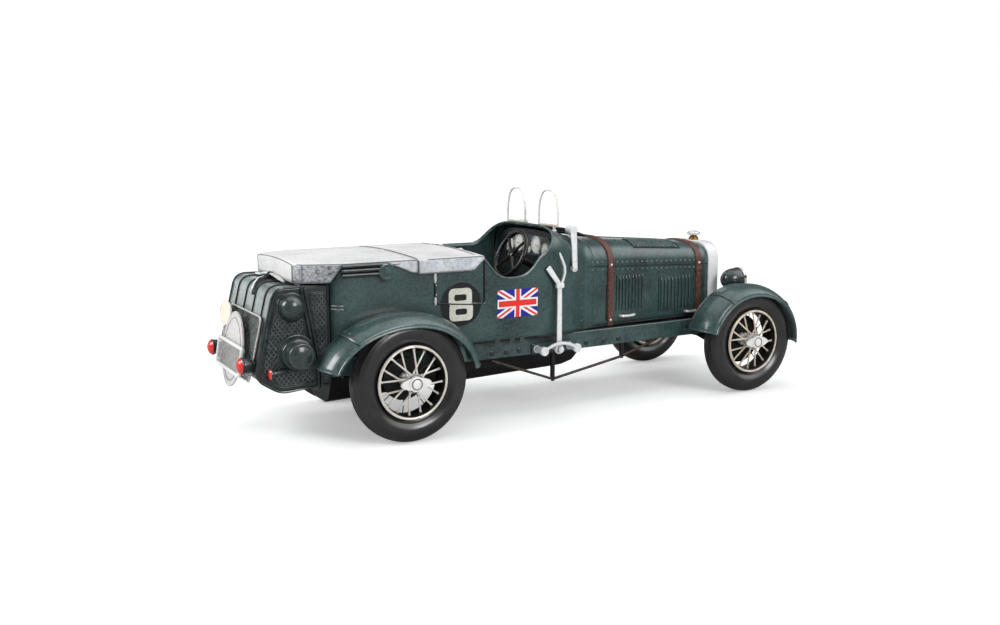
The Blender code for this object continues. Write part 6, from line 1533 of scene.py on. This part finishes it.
# Controls and screens
def make_lever():
    """The outside lever with its paddle and bent trigger."""
    lever = Shape()
    foot = Vector((LEVER_X, 0, LEVER_Z))
    post = [(-1.8, -1.0), (1.8, -1.0), (1.5, 39.5), (-1.5, 39.5)]
    collar = box_of((-2.6, 38.4), (2.6, 41.6))
    for outline, outer, inner in ((post, -47.0, -45.8), (collar, -47.8, -45.6)):
        lever.prism([(foot.x + u, foot.z + w) for u, w in outline], "Y", outer, inner, "white")
    paddle = rounded([(-1.4, -1.0, 0.5), (1.4, -1.0, 0.5), (1.8, 13.2, 0.7), (-1.8, 13.2, 0.7)], 3)
    lean = Matrix.Rotation(math.radians(37), 2)
    arm = []
    for pair in paddle:
        spot = lean @ Vector(pair)
        arm.append((foot.x - 0.6 + spot.x, foot.z + 41.0 + spot.y))
    lever.prism(arm, "Y", -47.1, -45.8, "white")
    piece("hand_lever", lever, "brake_lever", ("brake_lever",), edge=0.35)
    grip = Shape()
    path = [(0.9, 40.4), (2.6, 43.6), (3.7, 47.6), (3.5, 51.4), (1.6, 56.0), (-0.3, 60.2)]
    grip.tube(evenly([Vector((foot.x + u, -46.5, foot.z + w)) for u, w in path], 20),
              [0.85] * 17 + [0.8, 0.65, 0.5, 0.3], "white", 10)
    grip.turned([(2.0, -0.2), (3.0, 0.0), (3.0, 1.4), (2.6, 1.7), (2.0, 1.7)], (LEVER_X, -45.6, LEVER_Z),
                (0, -1, 0), "white", 28)
    piece("hand_lever_trigger", grip, "brake_lever")


def make_lever_bracket():
    """The plate on the rail that carries the lever: two posts with an arched rod and a pin."""
    bracket = Shape()
    back = rounded_box((-15.3, -3.3), (15.3, 3.3), 1.5, 4)
    bracket.prism([(LEVER_X + u, LEVER_Z + w) for u, w in back], "Y", -39.5, -38.3, "green")
    for spread_x in (-12.0, 12.0):
        bracket.turned([(0, 0), (2.4, 0), (2.4, 0.9), (2.0, 1.2), (2.0, 8.0), (2.6, 8.3), (2.8, 8.7),
                        (2.8, 10.4), (2.5, 10.8), (1.7, 10.9), (1.5, 10.6), (0, 10.6)],
                       (LEVER_X + spread_x, -38.9, LEVER_Z), (0, -1, 0), "white", 28)
    bracket.turned([(0, 0), (1.4, 0), (1.4, 9.0), (1.9, 9.2), (2.0, 10.2), (1.4, 11.0), (0, 11.3)],
                   (LEVER_X, -38.9, LEVER_Z), (0, -1, 0), "white", 20)
    arch = [Vector((LEVER_X + 12 * t, -48.6, LEVER_Z + 4.0 * (1 - t * t))) for t in steps(-1, 1, 20)]
    bracket.tube(arch, 1.0, "white", 10)
    piece("lever_quadrant", bracket, "chassis", ("lever_bracket",), edge=0.25)


def make_screens():
    """Two wire hoops on the scuttle, and the mesh screen between its posts."""
    for side, hand in SIDES:
        hoop = Shape()
        middle = hand * 20.0
        low = crown(HOOP_X, 10.0) + 2.0
        wide = 11.4
        arch = [(wide * math.copysign(abs(math.cos(t)) ** 0.68, math.cos(t)), 22.0 * math.sin(t) ** 0.68)
                for t in steps(0, math.pi, 40)]
        loop = [(middle + u, low + w) for u, w in evenly(arch, 48)]
        hoop.tube([Vector((HOOP_X, y, z)) for y, z in loop], 0.7, "hoop_wire", 10, closed=True)
        for offset in (-7.0, 7.0):
            y = middle + offset
            hoop.tube([(HOOP_X, y, crown(HOOP_X, y) - 0.3), (HOOP_X, y, low)], 0.9, "hoop_wire", 10)
            hoop.turned([(1.7, 0), (1.7, 0.4), (1.1, 0.8), (0, 0.8)], (HOOP_X, y, crown(HOOP_X, y)),
                        (0, 0, 1), "hoop_wire", 14)
        for y in (middle - wide, middle + wide):
            hoop.tube([(HOOP_X, y, low + 5.2), (HOOP_X, y, low + 8.6)], 0.9, "hoop_wire", 10)
        hoop.tube([(HOOP_X, middle - wide + 0.4, low), (HOOP_X, middle + wide - 0.4, low)], 0.8,
                  "gold_wire", 8)
        piece("wire_screen_" + side, hoop, "chassis", ("aero_screen_" + side,))
        make_stanchion(side, hand)
    screen = Shape()
    panel = rounded([(-0.5, -25.6, 0.8), (14.4, -25.6, 2.4), (14.4, 25.6, 2.4), (-0.5, 25.6, 0.8)], 5)
    screen.tube([Vector((u, y, 0)) for u, y in panel], 0.8, "black", 10, closed=True)
    # Painted highlight: the mesh wires take a lighter green for the light they catch
    for wire in crossed(panel, 1.5, 45):
        screen.tube([(end.x, end.y, 0) for end in wire], 0.22, "mesh_green", 5)
    for y in steps(-12.8, 12.8, 2):
        screen.tube([(-0.3, y, 0.2), (14.2, y, 0.2)], 0.45, "black", 8)
    for hand in HANDS:
        screen.tube([(0, hand * 25.4, 0), (0, hand * 28.6, 0)], 0.65, "silver", 10)
    hinge = Matrix.Translation((SCREEN_X, 0, section(SCREEN_X)[3] + SCREEN_LIFT))
    hinge = hinge @ Matrix.Rotation(math.radians(18.5), 4, "Y")
    piece("mesh_windscreen", screen.moved(hinge), "windscreen", ("windscreen",))


def make_stanchion(side, hand):
    """A straight flat strip beside the curved scuttle, with a foot and a round head for the pivot."""
    post = Shape()
    level = section(SCREEN_X)[3] + SCREEN_LIFT
    foot = Vector((121.0, side_reach(121.0, 53.7), 53.7))
    line = [foot.lerp(Vector((SCREEN_X, 29.4, level)), t) for t in steps(0, 1, 20)]
    gap = 0.2 + max(side_reach(spot.x, spot.z) - spot.y for spot in line
                    if spot.z < section(spot.x)[3] - 0.5)
    line = [spot + Vector((0, gap, 0)) for spot in line]
    rows = []
    for k, point in enumerate(line):
        run = (line[min(k + 1, 20)] - line[max(k - 1, 0)]).normalized()
        slope = (HALF_WIDTH(point.x + 0.5) - HALF_WIDTH(point.x - 0.5)) * (1 - k / 20)
        flat = Vector((1, slope, 0))
        flat = (flat - run * flat.dot(run)).normalized()
        out = run.cross(flat)
        wide = 2.15 * min(1.0, 0.6 + k / 5)
        row = []
        for across, lift in ((-wide, 0.0), (-wide, 0.85), (-wide + 0.3, 1.1), (wide - 0.3, 1.1),
                             (wide, 0.85), (wide, 0.0)):
            spot = point + flat * across + out * lift
            row.append((spot.x, hand * spot.y, spot.z))
        rows.append(row)
    post.grid(rows, "white", around=True, ends=True)
    long = 4.4 + gap
    post.turned([(0.9, 0), (2.8, 0), (3.0, 0.4), (3.0, long - 1.2), (2.7, long - 0.8), (1.4, long - 0.6),
                 (1.2, long - 0.1), (0, long)], (SCREEN_X, hand * 26.8, level), (0, hand, 0), "white", 28)
    seat = on_side(line[1].x, line[1].z, hand, -0.4)
    post.turned([(1.9, 0), (1.9, gap + 0.9), (0, gap + 0.9)], seat, (0, hand, 0), "white", 20)
    for k in (1, 5):
        post.dome((line[k].x, hand * (line[k].y + 1.0), line[k].z), (0, hand, 0.2), 1.2, 0.8, "silver", 10)
    piece("screen_post_" + side, post, "chassis", ("windscreen_stanchion_" + side,),
          crease=45)


# Side markings
def clipped(outline, low, high):
    """A polygon cut to a box."""
    for axis, limit, sign in ((0, low[0], 1), (0, high[0], -1), (1, low[1], 1), (1, high[1], -1)):
        kept = []
        for first, second in zip(outline, outline[1:] + outline[:1]):
            a = (first[axis] - limit) * sign
            b = (second[axis] - limit) * sign
            if a >= 0:
                kept.append(first)
            if (a >= 0) != (b >= 0):
                t = a / (a - b)
                kept.append((first[0] + (second[0] - first[0]) * t, first[1] + (second[1] - first[1]) * t))
        outline = kept
    return outline


def laid(shape, outline, hand, lift, look):
    """A thin painted shape laid on the body side, cut into level strips so that it follows the curve."""
    lows = [z for _, z in outline]
    levels = steps(min(lows), max(lows), max(2, int((max(lows) - min(lows)) / 1.6)))
    for low, high in zip(levels, levels[1:]):
        strip = clipped(outline, (-FAR, low), (FAR, high))
        if len(strip) > 2:
            shape.add([on_side(x, z, hand, lift) for x, z in strip], [range(len(strip))], look)


def make_flag(shape, hand):
    """A painted national flag, built up in thin layers."""
    low = (64.2, 28.4)
    high = (92.3, 45.4)
    wide = high[0] - low[0]
    tall = high[1] - low[1]
    middle = ((low[0] + high[0]) / 2, (low[1] + high[1]) / 2)
    laid(shape, box_of(low, high), hand, 0.12, "flag_blue")
    for sign in (1, -1):
        run = Vector((wide, sign * tall)).normalized()
        side = Vector((-run.y, run.x))
        for look, first, second, lift in (("flag_white", -1.9, 1.9, 0.15), ("flag_red", -0.62, 0.62, 0.18)):
            corners = box_of((-30, first), (30, second))
            band = [Vector(middle) + run * a + side * b for a, b in corners]
            laid(shape, clipped([(p.x, p.y) for p in band], low, high), hand, lift, look)
    crosses = (("flag_white", 0.165, 0.080, 0.21, 0.0), ("flag_red", 0.105, 0.046, 0.24, 0.9))
    for look, flat, tall_share, lift, short in crosses:
        level = box_of((low[0] + short, middle[1] - tall * flat),
                       (high[0] - short, middle[1] + tall * flat))
        laid(shape, level, hand, lift, look)
        upright = box_of((middle[0] - wide * tall_share, low[1]), (middle[0] + wide * tall_share, high[1]))
        laid(shape, upright, hand, lift, look)


def make_number(shape, hand):
    """A plain race number on a dark disc: two stacked rounded rings."""
    disc = [(39.6 + 13.2 * math.cos(t), 38.9 + 13.2 * math.sin(t)) for t in turns(64)]
    laid(shape, disc, hand, 0.10, "roundel")
    shape.tube([on_side(x, z, hand, 0.08) for x, z in disc], 0.22, "deep_green", 5, closed=True)
    for low, high, border in (((32.0, 29.1), (47.5, 40.1), 3.9), ((31.5, 37.5), (46.8, 48.6), 3.6)):
        rings = []
        for inset, rise, radius in ((0.0, 0.0, 3.6), (border, 3.7, 1.5)):
            rings.append(rounded_box((low[0] + inset, low[1] + rise), (high[0] - inset, high[1] - rise),
                                     radius, 6))
        rows = [[on_side(x, z, hand, 0.2) for x, z in ring] for ring in rings]
        shape.grid(rows, "number_cream", around=True)


def make_side_trim():
    """Flag and number, door lines in painted shade with a painted highlight, hinges and rivets of both
    sides.
    """
    marks = Shape()
    trim = Shape()
    for hand in HANDS:
        make_flag(marks, hand)
        make_number(marks, hand)
        # Painted shade: a dark line round the door for its shadowed shut line
        door_shade_line = [(22.7, z) for z in steps(60.0, 42.6, 8)]
        door_shade_line += [(23.4, 41.2), (24.6, 40.5), (25.8, 40.3)]
        door_shade_line += [(25.8 + 25.1 * t, 40.3 - 2.0 * t) for t in steps(0, 1, 10)[1:]]
        door_shade_line += [(53.2, 38.4), (54.6, 39.2), (55.1, 40.6)] + [(55.1, z) for z in steps(42, 63.6, 8)]
        trim.tube([on_side(x, z, hand, 0.2) for x, z in door_shade_line], 0.5, "seam", 6)
        # Painted highlight: a pale line just above the door's lower shut line
        for first, last, radius, look in ((32.6, 46.4, 0.42, "number_cream"),
                                          (46.4, 55.6, 0.26, "mesh_silver")):
            door_edge_highlight = [on_side(x, 40.9 - 0.08 * (x - 25.8), hand, 0.3) for x in steps(first, last, 6)]
            trim.tube(door_edge_highlight, radius, look, 6)
        for low, high in ((52.8, 59.2), (39.9, 44.5)):
            trim.tube([on_side(22.7, z, hand, 0.5) for z in steps(low, high, 5)],
                      [0.5, 0.8, 0.85, 0.85, 0.8, 0.5], "silver", 8)
        # Painted shadow: a dark line along the body's foot, where it meets the rail
        foot_shadow_line = [on_side(x, BODY_BOTTOM + 0.5, hand, 0.1) for x in steps(44.0, 128.0, 28)]
        trim.tube(foot_shadow_line, 0.6, "seam", 6)
        for x, z in ((23.2, 51.4), (23.2, 45.8)):
            trim.dome(on_side(x, z, hand), (0, hand, 0), 0.6, 0.5, "silver", 8)
        for z in (41.6, 43.4):
            trim.tube([on_side(x, z, hand, 0.35) for x in steps(-38.4, -33.2, 4)], 0.5, "plate_grey", 8)
        trim.tube([on_side(-35.6, z, hand, 0.4) for z in steps(40.4, 44.6, 4)], 0.75, "green", 8)
        for x, z in ((131.8, 20.0), (131.8, 28.0), (131.8, 36.0), (131.8, 44.0)):
            trim.dome(on_side(x, z, hand), (0, hand, 0), 0.7, 0.5, "green", 8)
    for y in steps(-24, 24, 9):
        trim.dome((133.4, y, crown(133.4, y)), (0, y * 0.01, 1), 0.7, 0.45, "green", 8)
    piece("side_markings", marks, "chassis", crease=80)
    piece("door_lines_and_hinges", trim, "chassis")


make_finishes()
make_studio()
make_body()
make_bonnet()
make_mudguards()
make_wheels()
make_radiator()
make_headlamps()
make_chassis()
make_tank()
make_tank_fittings()
make_tie()
make_tail_lamps()
make_number_board()
make_covers()
make_seat()
make_dashboard()
make_steering_wheel()
make_lever()
make_lever_bracket()
make_screens()
make_side_trim()
